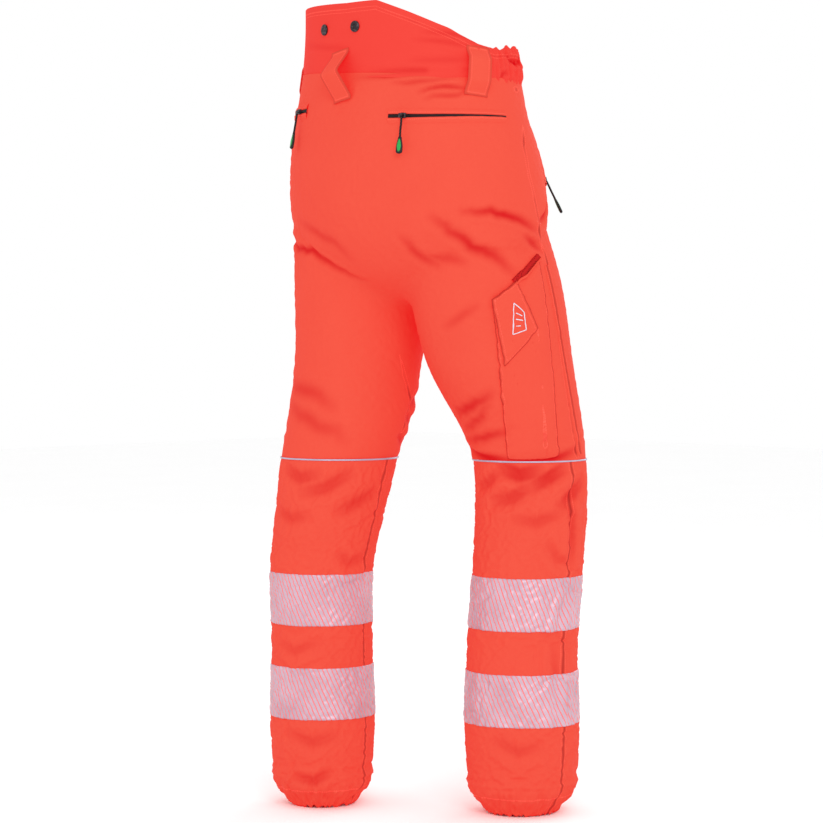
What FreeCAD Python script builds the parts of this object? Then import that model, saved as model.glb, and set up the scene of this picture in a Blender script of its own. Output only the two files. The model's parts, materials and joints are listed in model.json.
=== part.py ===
"""Chainsaw trousers with a high back: cloth panels, cut-protection pads, zips, loops, bands and hem cuffs.

Front is -Y, the wearer's right is -X, +Z is up and the hems stand on z = 0. Sizes are in millimetres.
Smooth forms of the filled garment, one inside the other, bound each cloth layer, and blocks and prisms
along the seams cut every layer into its sewn panels.
"""
import FreeCAD, Part
import math
import os
import Sketcher

Vector = FreeCAD.Vector
Rotation = FreeCAD.Rotation

# The driving dimensions. Places are measured from the middle of the waist, heights from the hems.
DIMENSIONS = {
    "waist_x": 0, "waist_y": 25.975,
    # body form: height, forward shift, half width, half depth
    "rim_height": 1175, "rim_shift": 0, "rim_half_width": 172, "rim_half_depth": 128,
    "waist_height": 1062, "waist_shift": 0, "waist_half_width": 180, "waist_half_depth": 131,
    "seat_height": 930, "seat_shift": -2, "seat_half_width": 209, "seat_half_depth": 152,
    "hip_height": 840, "hip_shift": -10, "hip_half_width": 212, "hip_half_depth": 154,
    "fork_height": 768, "fork_shift": -22, "fork_half_width": 150, "fork_half_depth": 100,
    # seams and edges of the panels
    "yoke_seam": 1035, "belt_edge": 1097, "thigh_seam": 800, "knee_seam": 512, "bend_end": 375,
    "cuff_seam": 45, "gusset_half_width": 16, "gusset_low": 668, "gusset_high": 792,
    "back_end_y": 15, "front_end_y": -78, "side_seam_y": -4,
    # cloth layers: how far each face lies inside the outer face of the garment
    "face": 0, "cloth_back": 1.8, "pad_outer": 2.4, "pad_inner": 7.4, "lining_outer": 8.0,
    "lining_inner": 8.8, "elastic_inner": 4.4,
    # trim sewn on the outside, with negative insets
    "trim_back": -0.2, "band_face": -0.7, "piping_face": -1.6, "pocket_back": -0.3, "pocket_face": -4.8,
    "outer_third": 108, "flap_back": -5.3, "flap_face": -6.6, "placket_face": -2.0,
    "piping_width": 3, "band_width": 77, "upper_band": 269, "lower_band": 134, "welt_width": 9,
    # cut-protection pads, linings and elastics
    "pad_top": 968, "pad_edge": 8, "pad_knee_gap": 6, "shin_pad_low": 60, "hem_elastic_low": 8,
    "hem_elastic_width": 25, "waist_elastic_low": 1066, "waist_elastic_high": 1093,
    # zips and their sliders
    "zip_width": 5, "slot_width": 6.4, "zip_back": 6, "zip_face": 1.9, "slot_depth": 14, "slider_lift": 2.2,
    "rear_zip_x": 51.8, "rear_zip_y": -13.4, "rear_zip_start": 103, "rear_zip_sweep": 69.5,
    "rear_slider_turn": 9.3, "right_rear_radius": 144, "right_rear_height": 997,
    "left_rear_radius": 140.3, "left_rear_height": 1013,
    "hand_low_x": 173.3, "hand_low_y": -93.7, "hand_low_height": 905,
    "hand_high_x": 129, "hand_high_y": -97.2, "hand_high_height": 1030, "hand_slider_gap": 9,
    "slider_width": 8, "slider_length": 11, "slider_thickness": 2.8, "bail_radius": 2.2, "bail_hole": 1.0,
    "bail_length": 4, "bail_rise": 1.3,
    # pull cords and their tags
    "cord_radius": 1.5, "tag_length": 25, "tag_width": 9.6, "tag_thickness": 4.4, "socket_radius": 1.55,
    "socket_depth": 4, "tag_drop": 29.6,
    # pocket bags
    "rear_bag_x": 62, "rear_bag_y": 14, "rear_bag_low": 880, "bag_rise": 9, "hand_bag_x": 118,
    "hand_bag_y": -34, "hand_bag_low": 860, "hand_bag_high": 1036, "notch_slack": 0.2, "slot_slack": 0.7,
    # fly
    "fly_region_y": -60, "fly_half_width": 20, "fly_low": 897, "fly_high": 1050, "fly_slot_half": 4,
    "fly_lining_half": 10,
    "fly_zip_y": -126.5, "fly_zip_lean": 9.9, "fly_zip_length": 140, "fly_zip_half": 6, "fly_tape": 1.6,
    "fly_slider_lift": 1.9, "fly_slider_half": 3.4, "fly_slider_thickness": 2.4, "fly_tab_length": 20,
    # belt loops and studs
    "trim_gap": 0.4, "loop_width": 35, "loop_cloth": 2, "loop_end": 6, "stud_radius": 8, "stud_height": 4.2,
    "shank_radius": 4, "cap_thickness": 2.2, "dimple_radius": 3.4, "dimple_depth": 0.7,
}

# The forms of each leg from the groin down: height, x, y, half width, half depth.
LEG_LEVELS = ("groin", "fork", "thigh", "knee", "calf", "shin", "ankle", "hem")
LEG_MEASURES = ("height", "across", "along", "width", "depth")
LEGS = {
    "left": {
        "groin": (870, 98, -4, 98, 116),
        "fork": (768, 101, -4, 99, 112),
        "thigh": (655, 105, 4, 91, 97),
        "knee": (510, 116, 31, 83, 88),
        "calf": (366, 128, 54, 74, 77),
        "shin": (75, 128, 54, 72, 75),
        "ankle": (30, 128, 54, 67, 70),
        "hem": (0, 128, 54, 53, 56),
    },
    "right": {
        "groin": (870, -98, -16, 98, 116),
        "fork": (768, -101, -44, 103, 118),
        "thigh": (655, -104, -78, 101, 112),
        "knee": (510, -120, -126, 80, 84),
        "calf": (366, -126, -117, 78, 81),
        "shin": (75, -128, -102, 78, 81),
        "ankle": (30, -128, -102, 72, 75),
        "hem": (0, -128, -102, 57, 60),
    },
}
BODY_LEVELS = ("rim", "waist", "seat", "hip", "fork")
SIDES = {"left": 1, "right": -1}
REACH = 320
WHOLE = (f"-{REACH}", f"{REACH}")
FRONT = (f"-{REACH}", "dims.fly_region_y")
UP = Vector(0, 0, 1)

# The sloping top edge of the high back, as (x, height) from its right end to its left end.
RIM = [("180", "1150"), ("146", "1163"), ("0", "1158"), ("-60", "1159"), ("-133", "1123"), ("-180", "1093")]
# Cargo pocket and flap on the right thigh, as (y, height) corners seen from the side.
POCKET = [("22", "742"), ("-50", "805"), ("-104", "520"), ("-49", "516")]
FLAP = [("22", "742"), ("-7", "768"), ("-45", "703"), ("-7", "649")]
# The welts on the outer seams, as (y, height) at the top and at the knee.
WELTS = {"left": ((-25, 783), (12, 520)), "right": ((-66, 790), (-146, 520))}
# Belt loops: x, y and height of the top end, then of the bottom end, how far the loop stands off, and half
# the height of its straight middle stretch.
LOOPS = {
    "back": ((10, 128.5, 1094), (-4, 137.9, 1021), 27, 2),
    "right": ((-168.9, 34.5, 1094), (-180.4, 37, 1024), 20, 16),
    "left": ((168.3, 34.3, 1100), (179.8, 36.8, 1030), 20, 16),
    "front_right": ((-75, -116.5, 1090), (-78, -124, 1020), 16, 15),
    "front_left": ((75, -116.5, 1090), (78, -124, 1020), 16, 15),
}
# Snap studs for braces: x, y and height.
STUDS = {
    "back_left": (47, 122.3, 1126), "back_right": (-19, 126.3, 1126),
    "front_1": (112.9, -100, 1082), "front_2": (42, -126.3, 1082),
    "front_3": (-42, -126.3, 1082), "front_4": (-112.9, -100, 1082),
}
# The route of a pull cord below its slider: sideways, up and outwards.
CORD_ROUTE = [(0, -2.9, 0), (0.6, -10.5, 0.3), (-0.5, -20.5, -0.2), (0.2, -33.6, 0.2)]
PULL_TILT = {"rear": 10, "hand": 26}

doc = FreeCAD.newDocument("chainsaw_trousers")
dims = doc.addObject("Spreadsheet::Sheet", "dims")
forms = {}
nodes = []


def fill_sheet():
    """Write every driving dimension and leg level into the sheet under its alias."""
    rows = dict(DIMENSIONS)
    for side, levels in LEGS.items():
        for level, values in levels.items():
            for measure, value in zip(LEG_MEASURES, values):
                rows[f"{side}_{level}_{measure}"] = value
    for number, (alias, value) in enumerate(rows.items(), start=1):
        dims.set(f"A{number}", alias)
        dims.set(f"B{number}", str(value))
        dims.setAlias(f"B{number}", alias)
    doc.recompute()


def size(alias):
    return float(dims.get(alias))


def bind(thing, **expressions):
    """Tie properties of an object to the sheet; a double underscore in a name stands for a dot."""
    for name, expression in expressions.items():
        thing.setExpression(name.replace("__", "."), str(expression))
    return thing


def place(thing, x="0", y="0", z="0", rotation=None):
    """Put an object at a place measured from the middle of the waist."""
    thing.Placement = FreeCAD.Placement(Vector(0, 0, 0), rotation or Rotation())
    return bind(
        thing,
        Placement__Base__x=f"dims.waist_x + ({x})",
        Placement__Base__y=f"dims.waist_y + ({y})",
        Placement__Base__z=z,
    )


def facing(outward, up=UP):
    """The rotation whose local z points outwards and whose local y is as near to up as it can be."""
    return Rotation(up.cross(outward), up, outward, "ZYX")


def keep(thing, node):
    """Name an object as one of the garment's separate pieces."""
    thing.Label = node
    nodes.append(thing)
    return thing


# ---------------------------------------------------------------- forms of the filled garment

def loft(name, sections):
    """Skin a solid over closed sections."""
    skin = doc.addObject("Part::Loft", name)
    skin.Sections = sections
    skin.Solid = True
    skin.Ruled = False
    return skin


def body_form(inset):
    """The waist, seat and hips as one loft of ellipses."""
    sections = []
    for level in BODY_LEVELS:
        ring = doc.addObject("Part::Ellipse", f"{level}_{inset}")
        rise = f" + dims.{inset}" if level == "fork" else ""
        place(ring, y=f"dims.{level}_shift", z=f"dims.{level}_height{rise}")
        bind(
            ring,
            MajorRadius=f"dims.{level}_half_width - dims.{inset}",
            MinorRadius=f"dims.{level}_half_depth - dims.{inset}",
        )
        sections.append(ring)
    return loft(f"body_{inset}", sections)


def leg_form(side, inset):
    """One leg as a loft of ellipses, each a little deeper than wide."""
    name = f"{side}_leg_{inset}"
    if name in forms:
        return forms[name]
    sections = []
    for level in LEG_LEVELS:
        ring = doc.addObject("Part::Ellipse", f"{side}_{level}_{inset}")
        row = f"dims.{side}_{level}"
        place(ring, f"{row}_across", f"{row}_along", f"{row}_height", Rotation(UP, 90))
        bind(
            ring,
            MajorRadius=f"{row}_depth - dims.{inset}",
            MinorRadius=f"{row}_width - dims.{inset}",
        )
        sections.append(ring)
    forms[name] = loft(name, sections)
    return forms[name]


def garment_form(inset):
    """Body and both legs as one form, moved inwards by a named inset."""
    if inset not in forms:
        forms[inset] = fuse(f"form_{inset}", [body_form(inset)] + [leg_form(side, inset) for side in SIDES])
    return forms[inset]


def fuse(name, parts):
    whole = doc.addObject("Part::MultiFuse", name)
    whole.Shapes = parts
    return whole


def cut(name, base, tool):
    rest = doc.addObject("Part::Cut", name)
    rest.Base = base
    rest.Tool = tool
    return rest


def common(name, parts):
    shared = doc.addObject("Part::MultiCommon", name)
    shared.Shapes = parts
    return shared


def group(name, parts):
    """Several equal pieces as one piece of separate solids."""
    pieces = doc.addObject("Part::Compound", name)
    pieces.Links = parts
    return pieces


def cloth(name, outer, inner, regions):
    """The part of one cloth layer, between two forms, that lies in every region."""
    chunk = common(f"{name}_chunk", [outer] + regions)
    return cut(name, chunk, inner)


# ---------------------------------------------------------------- cutting regions

def block(name, x, y, z):
    """A box between two places in each direction, given as pairs of expressions."""
    box = doc.addObject("Part::Box", name)
    place(box, x[0], y[0], z[0])
    return bind(
        box,
        Length=f"({x[1]}) - ({x[0]})",
        Width=f"({y[1]}) - ({y[0]})",
        Height=f"({z[1]}) - ({z[0]})",
    )


def draw(sketch, corners):
    """Draw a closed outline of straight edges whose corners are bound to expressions."""
    count = len(corners)
    spots = [Vector(math.cos(math.tau * i / count), math.sin(math.tau * i / count), 0) for i in range(count)]
    for index in range(count):
        sketch.addGeometry(Part.LineSegment(spots[index], spots[(index + 1) % count]), False)
    for index in range(count):
        sketch.addConstraint(Sketcher.Constraint("Coincident", index, 2, (index + 1) % count, 1))
    for index, corner in enumerate(corners):
        for kind, expression in zip(("DistanceX", "DistanceY"), corner):
            number = sketch.addConstraint(Sketcher.Constraint(kind, -1, 1, index, 1, 1.0))
            sketch.setExpression(f"Constraints[{number}]", str(expression))
    return sketch


def extrude(name, sketch, length):
    solid = doc.addObject("Part::Extrusion", name)
    solid.Base = sketch
    solid.DirMode = "Normal"
    solid.Solid = True
    return bind(solid, LengthFwd=length)


def side_prism(name, corners, x):
    """A prism along X with (y, height) corners, between two places across the garment."""
    sketch = draw(doc.addObject("Sketcher::SketchObject", f"{name}_outline"), corners)
    place(sketch, x=x[0], rotation=Rotation(Vector(1, 1, 1), 120))
    return extrude(name, sketch, f"({x[1]}) - ({x[0]})")


def back_prism(name, corners):
    """A prism along Y with (x, height) corners, through the whole depth of the garment."""
    sketch = draw(doc.addObject("Sketcher::SketchObject", f"{name}_outline"), corners)
    place(sketch, y=f"{REACH}", rotation=Rotation(Vector(1, 0, 0), 90))
    return extrude(name, sketch, f"{2 * REACH}")


def half(side, gap="0"):
    """The stretch across the garment that belongs to one side."""
    return (gap, f"{REACH}") if side == "left" else (f"-{REACH}", f"-({gap})")


def arc_block(name, side, inner, outer, height):
    """A stretch of ring about the middle of a rear zip's curve, centred on the zip's height."""
    sign = SIDES[side]
    turn = "dims.rear_zip_start" if side == "right" else "180 - dims.rear_zip_start - dims.rear_zip_sweep"
    rounds = []
    for suffix, radius in (("round", outer), ("core", inner)):
        disc = doc.addObject("Part::Cylinder", f"{name}_{suffix}")
        place(disc, f"{sign} * dims.rear_zip_x", "dims.rear_zip_y",
              f"dims.{side}_rear_height - ({height}) / 2")
        bind(disc, Radius=f"dims.{side}_rear_radius + ({radius})", Height=height,
             Angle="dims.rear_zip_sweep", Placement__Rotation__Angle=turn)
        rounds.append(disc)
    return cut(name, *rounds)


def hand_frame(side):
    """Lower end, direction and outward normal of a slanted hand pocket zip."""
    low = Vector(SIDES[side] * size("hand_low_x"), size("hand_low_y"), size("hand_low_height"))
    high = Vector(SIDES[side] * size("hand_high_x"), size("hand_high_y"), size("hand_high_height"))
    along = (high - low).normalize()
    flat = Vector(SIDES[side], -1, 0).normalize()
    outward = (flat - along * flat.dot(along)).normalize()
    return low, along, outward, (high - low).Length


def hand_block(name, side, width, inner, outer, extra=0.0):
    """A straight bar along a hand pocket zip, from inner to outer along the normal."""
    low, along, outward, length = hand_frame(side)
    turn = facing(outward, along)
    corner = low - along * extra - turn.multVec(Vector(1, 0, 0)) * (width / 2) + outward * inner
    bar = doc.addObject("Part::Box", name)
    place(bar, f"{corner.x}", f"{corner.y}", f"{corner.z}", turn)
    return bind(bar, Length=f"{width}", Width=f"{length + 2 * extra}", Height=f"{outer - inner}")


# ---------------------------------------------------------------- cloth panels above the knee

def leg_seam(side, shift=""):
    """Corners (y, height) of the side seam from the groin to the knee."""
    return [
        (f"dims.side_seam_y{shift}", f"dims.{side}_groin_height"),
        (f"dims.{side}_knee_along{shift}", "dims.knee_seam"),
    ]


def front_openings(side, gusset):
    """Where the front panel is cut away: the hand pocket zip, the fly and the gusset."""
    return fuse(f"front_openings_{side}", [
        hand_block(f"hand_slot_{side}", side, size("slot_width"), -size("slot_depth"), size("slot_depth"),
                   size("slot_slack")),
        block(f"fly_slot_{side}", ("-dims.fly_slot_half", "dims.fly_slot_half"), FRONT,
              ("dims.fly_low", "dims.fly_high")),
        gusset,
    ])


def leg_panels(side, gusset):
    """Front panel, seat panel and back thigh panel of one leg, with their openings."""
    outer = garment_form("face")
    inner = garment_form("cloth_back")
    seam = leg_seam(side)
    front = [(f"-{REACH}", "dims.knee_seam"), (f"-{REACH}", "dims.waist_height"),
             ("dims.side_seam_y", "dims.waist_height")] + seam
    back = [(f"{REACH}", "dims.knee_seam"), (f"{REACH}", "dims.yoke_seam"),
            ("dims.side_seam_y", "dims.yoke_seam")] + seam
    seat = block(f"seat_region_{side}", half(side), WHOLE, ("dims.thigh_seam", "dims.yoke_seam"))
    thigh = block(f"thigh_region_{side}", half(side), WHOLE, ("dims.knee_seam", "dims.thigh_seam"))
    thigh = cut(f"thigh_notched_{side}", thigh, gusset)
    rear_slot = arc_block(f"rear_slot_{side}", side, "-dims.slot_depth", "dims.slot_depth", "dims.slot_width")
    front_cloth = cloth(f"front_cloth_{side}", outer, inner, [side_prism(f"front_region_{side}", front, half(side))])
    keep(cut(f"front_panel_{side}", front_cloth, front_openings(side, gusset)), f"front_panel_{side}")
    rear = side_prism(f"rear_region_{side}", back, half(side))
    keep(cut(f"seat_panel_{side}", cloth(f"seat_cloth_{side}", outer, inner, [rear, seat]), rear_slot),
         f"seat_panel_{side}")
    keep(cloth(f"thigh_back_{side}", outer, inner, [rear, thigh]), f"thigh_back_{side}")


def waist_panels():
    """Back yoke, front waistband, gathered sides and the high back with its sloping rim."""
    outer = garment_form("face")
    inner = garment_form("cloth_back")
    yoke = block("yoke_region", WHOLE, ("dims.side_seam_y", f"{REACH}"), ("dims.yoke_seam", "dims.waist_height"))
    belt = block("belt_region", WHOLE, (f"-{REACH}", "dims.front_end_y"), ("dims.waist_height", "dims.belt_edge"))
    sides = block("gather_region", WHOLE, ("dims.front_end_y", "dims.back_end_y"),
                  ("dims.waist_height", "dims.belt_edge"))
    back = block("high_back_region", WHOLE, ("dims.back_end_y", f"{REACH}"),
                 ("dims.waist_height", "dims.rim_height"))
    rim = back_prism("rim_slope", [("-180", "dims.waist_height"), ("180", "dims.waist_height")] + RIM)
    keep(cloth("back_yoke", outer, inner, [yoke]), "back_yoke")
    keep(cloth("waistband_front", outer, inner, [belt]), "waistband_front")
    keep(cloth("side_gathers", outer, inner, [sides]), "side_gathers")
    keep(cloth("high_back", outer, inner, [back, rim]), "high_back")
    elastic = block("waist_elastic_region", WHOLE, ("dims.front_end_y", "dims.back_end_y"),
                    ("dims.waist_elastic_low", "dims.waist_elastic_high"))
    keep(cloth("waist_elastics", garment_form("pad_outer"), garment_form("elastic_inner"), [elastic]),
         "waist_elastics")


# ---------------------------------------------------------------- lower legs

def lower_leg(side):
    """Knee bend, shin panels and hem cuff of one leg, with its reflective bands."""
    outer = leg_form(side, "face")
    inner = leg_form(side, "cloth_back")
    middle = f"dims.{side}_calf_along"
    spans = {
        f"knee_bend_{side}": (WHOLE, ("dims.bend_end", "dims.knee_seam")),
        f"shin_front_{side}": ((f"-{REACH}", middle), ("dims.cuff_seam", "dims.bend_end")),
        f"shin_back_{side}": ((middle, f"{REACH}"), ("dims.cuff_seam", "dims.bend_end")),
        f"hem_cuff_{side}": (WHOLE, ("0", "dims.cuff_seam")),
    }
    for node, (depth, height) in spans.items():
        keep(cloth(node, outer, inner, [block(f"{node}_region", half(side), depth, height)]), node)
    bands = []
    for level in ("upper", "lower"):
        span = (f"dims.{level}_band", f"dims.{level}_band + dims.band_width")
        region = block(f"{level}_band_region_{side}", half(side), WHOLE, span)
        bands.append(cloth(f"{level}_band_{side}", leg_form(side, "band_face"), leg_form(side, "trim_back"),
                           [region]))
    keep(group(f"reflective_bands_{side}", bands), f"reflective_bands_{side}")


def knee_piping(side):
    """The raised reflective piping along the knee seam of one leg."""
    span = ("dims.knee_seam - dims.piping_width", "dims.knee_seam")
    region = block(f"piping_region_{side}", half(side), WHOLE, span)
    return cloth(f"piping_{side}", leg_form(side, "piping_face"), leg_form(side, "trim_back"), [region])


# ---------------------------------------------------------------- inside the cloth

def thigh_pad(side, bags):
    """The cut-protection pad over the front of one thigh, left open where the pocket bag lies."""
    low = "dims.knee_seam + dims.pad_knee_gap"
    seam = leg_seam(side, " - dims.pad_edge")
    corners = [(f"-{REACH}", low), (f"-{REACH}", "dims.pad_top"),
               ("dims.side_seam_y - dims.pad_edge", "dims.pad_top"), seam[0], (seam[1][0], low)]
    region = side_prism(f"pad_region_{side}", corners, half(side, "dims.fly_lining_half"))
    pad = cloth(f"pad_cloth_{side}", garment_form("pad_outer"), garment_form("pad_inner"), [region])
    return keep(cut(f"thigh_pad_{side}", pad, bags), f"thigh_pad_{side}")


def shin_parts(side):
    """Shin pad, lower lining and hem elastic of one leg."""
    front = block(f"shin_pad_region_{side}", half(side),
                  (f"-{REACH}", f"dims.{side}_calf_along - dims.pad_edge"),
                  ("dims.shin_pad_low", "dims.bend_end - dims.pad_edge"))
    keep(cloth(f"shin_pad_{side}", leg_form(side, "pad_outer"), leg_form(side, "pad_inner"), [front]),
         f"shin_pad_{side}")
    tube = block(f"lower_lining_region_{side}", half(side), WHOLE, ("dims.cuff_seam", "dims.bend_end"))
    keep(cloth(f"lower_lining_{side}", leg_form(side, "lining_outer"), leg_form(side, "lining_inner"), [tube]),
         f"lower_lining_{side}")
    band = block(f"hem_elastic_region_{side}", half(side), WHOLE,
                 ("dims.hem_elastic_low", "dims.hem_elastic_low + dims.hem_elastic_width"))
    keep(cloth(f"hem_elastic_{side}", leg_form(side, "pad_outer"), leg_form(side, "elastic_inner"), [band]),
         f"hem_elastic_{side}")


def upper_lining():
    """The lining from the waist to both knees, open along the fly."""
    region = block("lining_region", WHOLE, WHOLE, ("dims.knee_seam + 2", "dims.waist_height"))
    slot = block("lining_slot", ("-dims.fly_lining_half", "dims.fly_lining_half"), FRONT,
                 ("dims.fly_low - 20", "dims.rim_height"))
    whole = cloth("lining_cloth", garment_form("lining_outer"), garment_form("lining_inner"), [region])
    return keep(cut("upper_lining", whole, slot), "upper_lining")


def pocket_bags():
    """Flat bags behind the rear and hand pocket zips, each notched to hold its zip tape."""
    outer = garment_form("pad_outer")
    inner = garment_form("pad_inner")
    rear_bags = []
    hand_bags = []
    hand_regions = {}
    for side in SIDES:
        rear = block(f"rear_bag_region_{side}", half(side, "dims.rear_bag_x"),
                     ("dims.rear_bag_y", f"{REACH}"),
                     ("dims.rear_bag_low", f"dims.{side}_rear_height + dims.bag_rise"))
        notch = arc_block(f"rear_notch_{side}", side, "-dims.slot_depth", "dims.slot_depth",
                          "dims.zip_width + dims.notch_slack")
        rear_bags.append(cut(f"rear_bag_{side}", cloth(f"rear_bag_cloth_{side}", outer, inner, [rear]), notch))
        region = block(f"hand_bag_region_{side}", half(side, "dims.hand_bag_x"),
                       (f"-{REACH}", "dims.hand_bag_y"), ("dims.hand_bag_low", "dims.hand_bag_high"))
        hand_regions[side] = region
        slit = hand_block(f"hand_notch_{side}", side, size("zip_width") + size("notch_slack"),
                          -size("slot_depth"), size("slot_depth"), size("slot_slack"))
        hand_bags.append(cut(f"hand_bag_{side}", cloth(f"hand_bag_cloth_{side}", outer, inner, [region]), slit))
    keep(group("rear_pocket_bags", rear_bags), "rear_pocket_bags")
    keep(group("hand_pocket_bags", hand_bags), "hand_pocket_bags")
    return hand_regions


# ---------------------------------------------------------------- cargo pocket and welts

def cargo_pocket():
    """The flat pouch on the right thigh and the slanted flap over its mouth."""
    outside = (f"-{REACH}", "-dims.outer_third")
    pouch = side_prism("pouch_region", POCKET, outside)
    lid = side_prism("flap_region", FLAP, outside)
    keep(cloth("cargo_pocket", garment_form("pocket_face"), garment_form("pocket_back"), [pouch]), "cargo_pocket")
    keep(cloth("cargo_flap", garment_form("flap_face"), garment_form("flap_back"), [lid]), "cargo_flap")


def outseam_welt(side):
    """The raised welt over the outer seam of one thigh."""
    (top_y, top_z), (low_y, low_z) = WELTS[side]
    corners = [(f"{top_y}", f"{top_z}"), (f"{top_y} - dims.welt_width", f"{top_z}"),
               (f"{low_y} - dims.welt_width", f"{low_z}"), (f"{low_y}", f"{low_z}")]
    region = side_prism(f"welt_region_{side}", corners, half(side, "dims.outer_third"))
    return cloth(f"outseam_welt_{side}", leg_form(side, "piping_face"), garment_form("trim_back"), [region])


# ---------------------------------------------------------------- zips, sliders and pulls

def new_body(node):
    return doc.addObject("PartDesign::Body", node)


def plane_sketch(body, name, role="XY_Plane"):
    """An empty sketch on one of a body's own origin planes."""
    sketch = body.newObject("Sketcher::SketchObject", name)
    plane = next(feature for feature in body.Origin.OriginFeatures if feature.Role == role)
    sketch.AttachmentSupport = [(plane, "")]
    sketch.MapMode = "FlatFace"
    return sketch


def draw_circle(sketch, radius, x="0", y="0"):
    """A full circle whose centre and radius are bound to expressions."""
    number = sketch.addGeometry(Part.Circle(Vector(1, 1, 0), Vector(0, 0, 1), 1), False)
    for kind, expression in (("DistanceX", x), ("DistanceY", y)):
        entry = sketch.addConstraint(Sketcher.Constraint(kind, -1, 1, number, 3, 1.0))
        sketch.setExpression(f"Constraints[{entry}]", expression)
    entry = sketch.addConstraint(Sketcher.Constraint("Radius", number, 1.0))
    sketch.setExpression(f"Constraints[{entry}]", radius)


def pad(body, sketch, name, length, centred=False):
    feature = body.newObject("PartDesign::Pad", name)
    feature.Profile = sketch
    if centred:
        feature.SideType = "Symmetric"
    return bind(feature, Length=length)


def slider(node, point, outward, up):
    """A zip slider: a waisted plate that rides on the teeth, with a ring for the pull cord."""
    body = new_body(node)
    across = "dims.slider_length / 2"
    rise = "dims.slider_width / 2"
    plate = draw(plane_sketch(body, f"{node}_plate"), [
        (f"-{across}", f"-{rise} * 0.7"), ("0", f"-{rise}"), (f"{across}", f"-{rise} * 0.85"),
        (f"{across}", f"{rise} * 0.85"), ("0", rise), (f"-{across}", f"{rise} * 0.7"),
    ])
    pad(body, plate, f"{node}_thickness", "dims.slider_thickness")
    ring = plane_sketch(body, f"{node}_ring", "YZ_Plane")
    height = "dims.slider_thickness + dims.bail_rise"
    draw_circle(ring, "dims.bail_radius", "0", height)
    draw_circle(ring, "dims.bail_hole", "0", height)
    pad(body, ring, f"{node}_bail", "dims.bail_length", centred=True)
    place(body, f"{point.x}", f"{point.y}", f"{point.z}", facing(outward, up))
    return keep(body, node)


def cord(node, route, place_at, turn):
    """A pull cord: a round tube of straight runs joined by tangent arcs along a route."""
    points = [Vector(*spot) for spot in route]
    edges = []
    start = points[0]
    for before, corner, after in zip(points, points[1:], points[2:]):
        inward = (corner - before).normalize()
        onward = (after - corner).normalize()
        half_turn = inward.getAngle(onward) / 2
        reach = 0.45 * min((corner - before).Length, (after - corner).Length)
        print(f"{node}: bend radius {reach / math.tan(half_turn):.1f} mm")
        first = corner - inward * reach
        last = corner + onward * reach
        swing = (onward - inward).normalize()
        middle = corner + swing * (reach * (1 - math.cos(half_turn)) / math.sin(half_turn))
        edges += [Part.LineSegment(start, first).toShape(), Part.Arc(first, middle, last).toShape()]
        start = last
    edges.append(Part.LineSegment(start, points[-1]).toShape())
    spine = Part.Wire(edges)
    rim = Part.Wire(Part.Circle(points[0], points[1] - points[0], size("cord_radius")).toShape())
    tube = doc.addObject("Part::Feature", node)
    tube.Shape = spine.makePipeShell([rim], True, False)
    ratio = tube.Shape.Volume / (math.pi * size("cord_radius") ** 2 * spine.Length)
    print(f"{node}: length {spine.Length:.1f} mm, volume ratio {ratio:.3f}")
    place(tube, f"{place_at.x}", f"{place_at.y}", f"{place_at.z}", turn)
    return keep(tube, node)


def tag(node, place_at, turn):
    """A flat drop-shaped pull tag with a socket for the end of its cord."""
    body = new_body(node)
    wide = "dims.tag_width / 2"
    top = "-dims.tag_drop"
    long = "dims.tag_length"
    corners = [
        (f"{wide} * 0.5", top), (f"-{wide} * 0.5", top), (f"-{wide}", f"{top} - 0.4 * {long}"),
        (f"-{wide} * 0.9", f"{top} - 0.8 * {long}"), (f"-{wide} * 0.45", f"{top} - {long}"),
        (f"{wide} * 0.45", f"{top} - {long}"), (f"{wide} * 0.9", f"{top} - 0.8 * {long}"),
        (wide, f"{top} - 0.4 * {long}"),
    ]
    pad(body, draw(plane_sketch(body, f"{node}_outline"), corners), f"{node}_thickness",
        "dims.tag_thickness", centred=True)
    mouth = plane_sketch(body, f"{node}_mouth", "XZ_Plane")
    draw_circle(mouth, "dims.socket_radius", "0.2", "0.2")
    socket = body.newObject("PartDesign::Pocket", f"{node}_socket")
    socket.Profile = mouth
    socket.Reversed = True
    bind(socket, Length="dims.tag_drop + dims.socket_depth")
    place(body, f"{place_at.x}", f"{place_at.y}", f"{place_at.z}", turn)
    return keep(body, node)


def puller(kind, side, ring, flat_out):
    """The cord and tag below a slider, leaning a little away from the cloth."""
    lean = Rotation(UP.cross(flat_out), -PULL_TILT[kind])
    outward = lean.multVec(flat_out)
    turn = facing(outward, lean.multVec(UP))
    cord(f"{kind}_cord_{side}", CORD_ROUTE, ring, turn)
    tag(f"{kind}_tag_{side}", ring, turn)


def ring_lift():
    """Height of the ring's centre above the underside of its slider."""
    return size("slider_thickness") + size("bail_rise")


def rear_zip(side):
    """A rear pocket zip on its curve, with slider, cord and tag near the centre-back end."""
    keep(arc_block(f"rear_zip_{side}", side, "-dims.zip_back", "dims.zip_face", "dims.zip_width"),
         f"rear_zip_{side}")
    turn = math.radians(size("rear_zip_start") + size("rear_slider_turn"))
    outward = Vector(-SIDES[side] * math.cos(turn), math.sin(turn), 0)
    middle = Vector(SIDES[side] * size("rear_zip_x"), size("rear_zip_y"), size(f"{side}_rear_height"))
    seat = middle + outward * (size(f"{side}_rear_radius") + size("slider_lift"))
    slider(f"rear_slider_{side}", seat, outward, UP)
    puller("rear", side, seat + outward * ring_lift(), outward)


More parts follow.
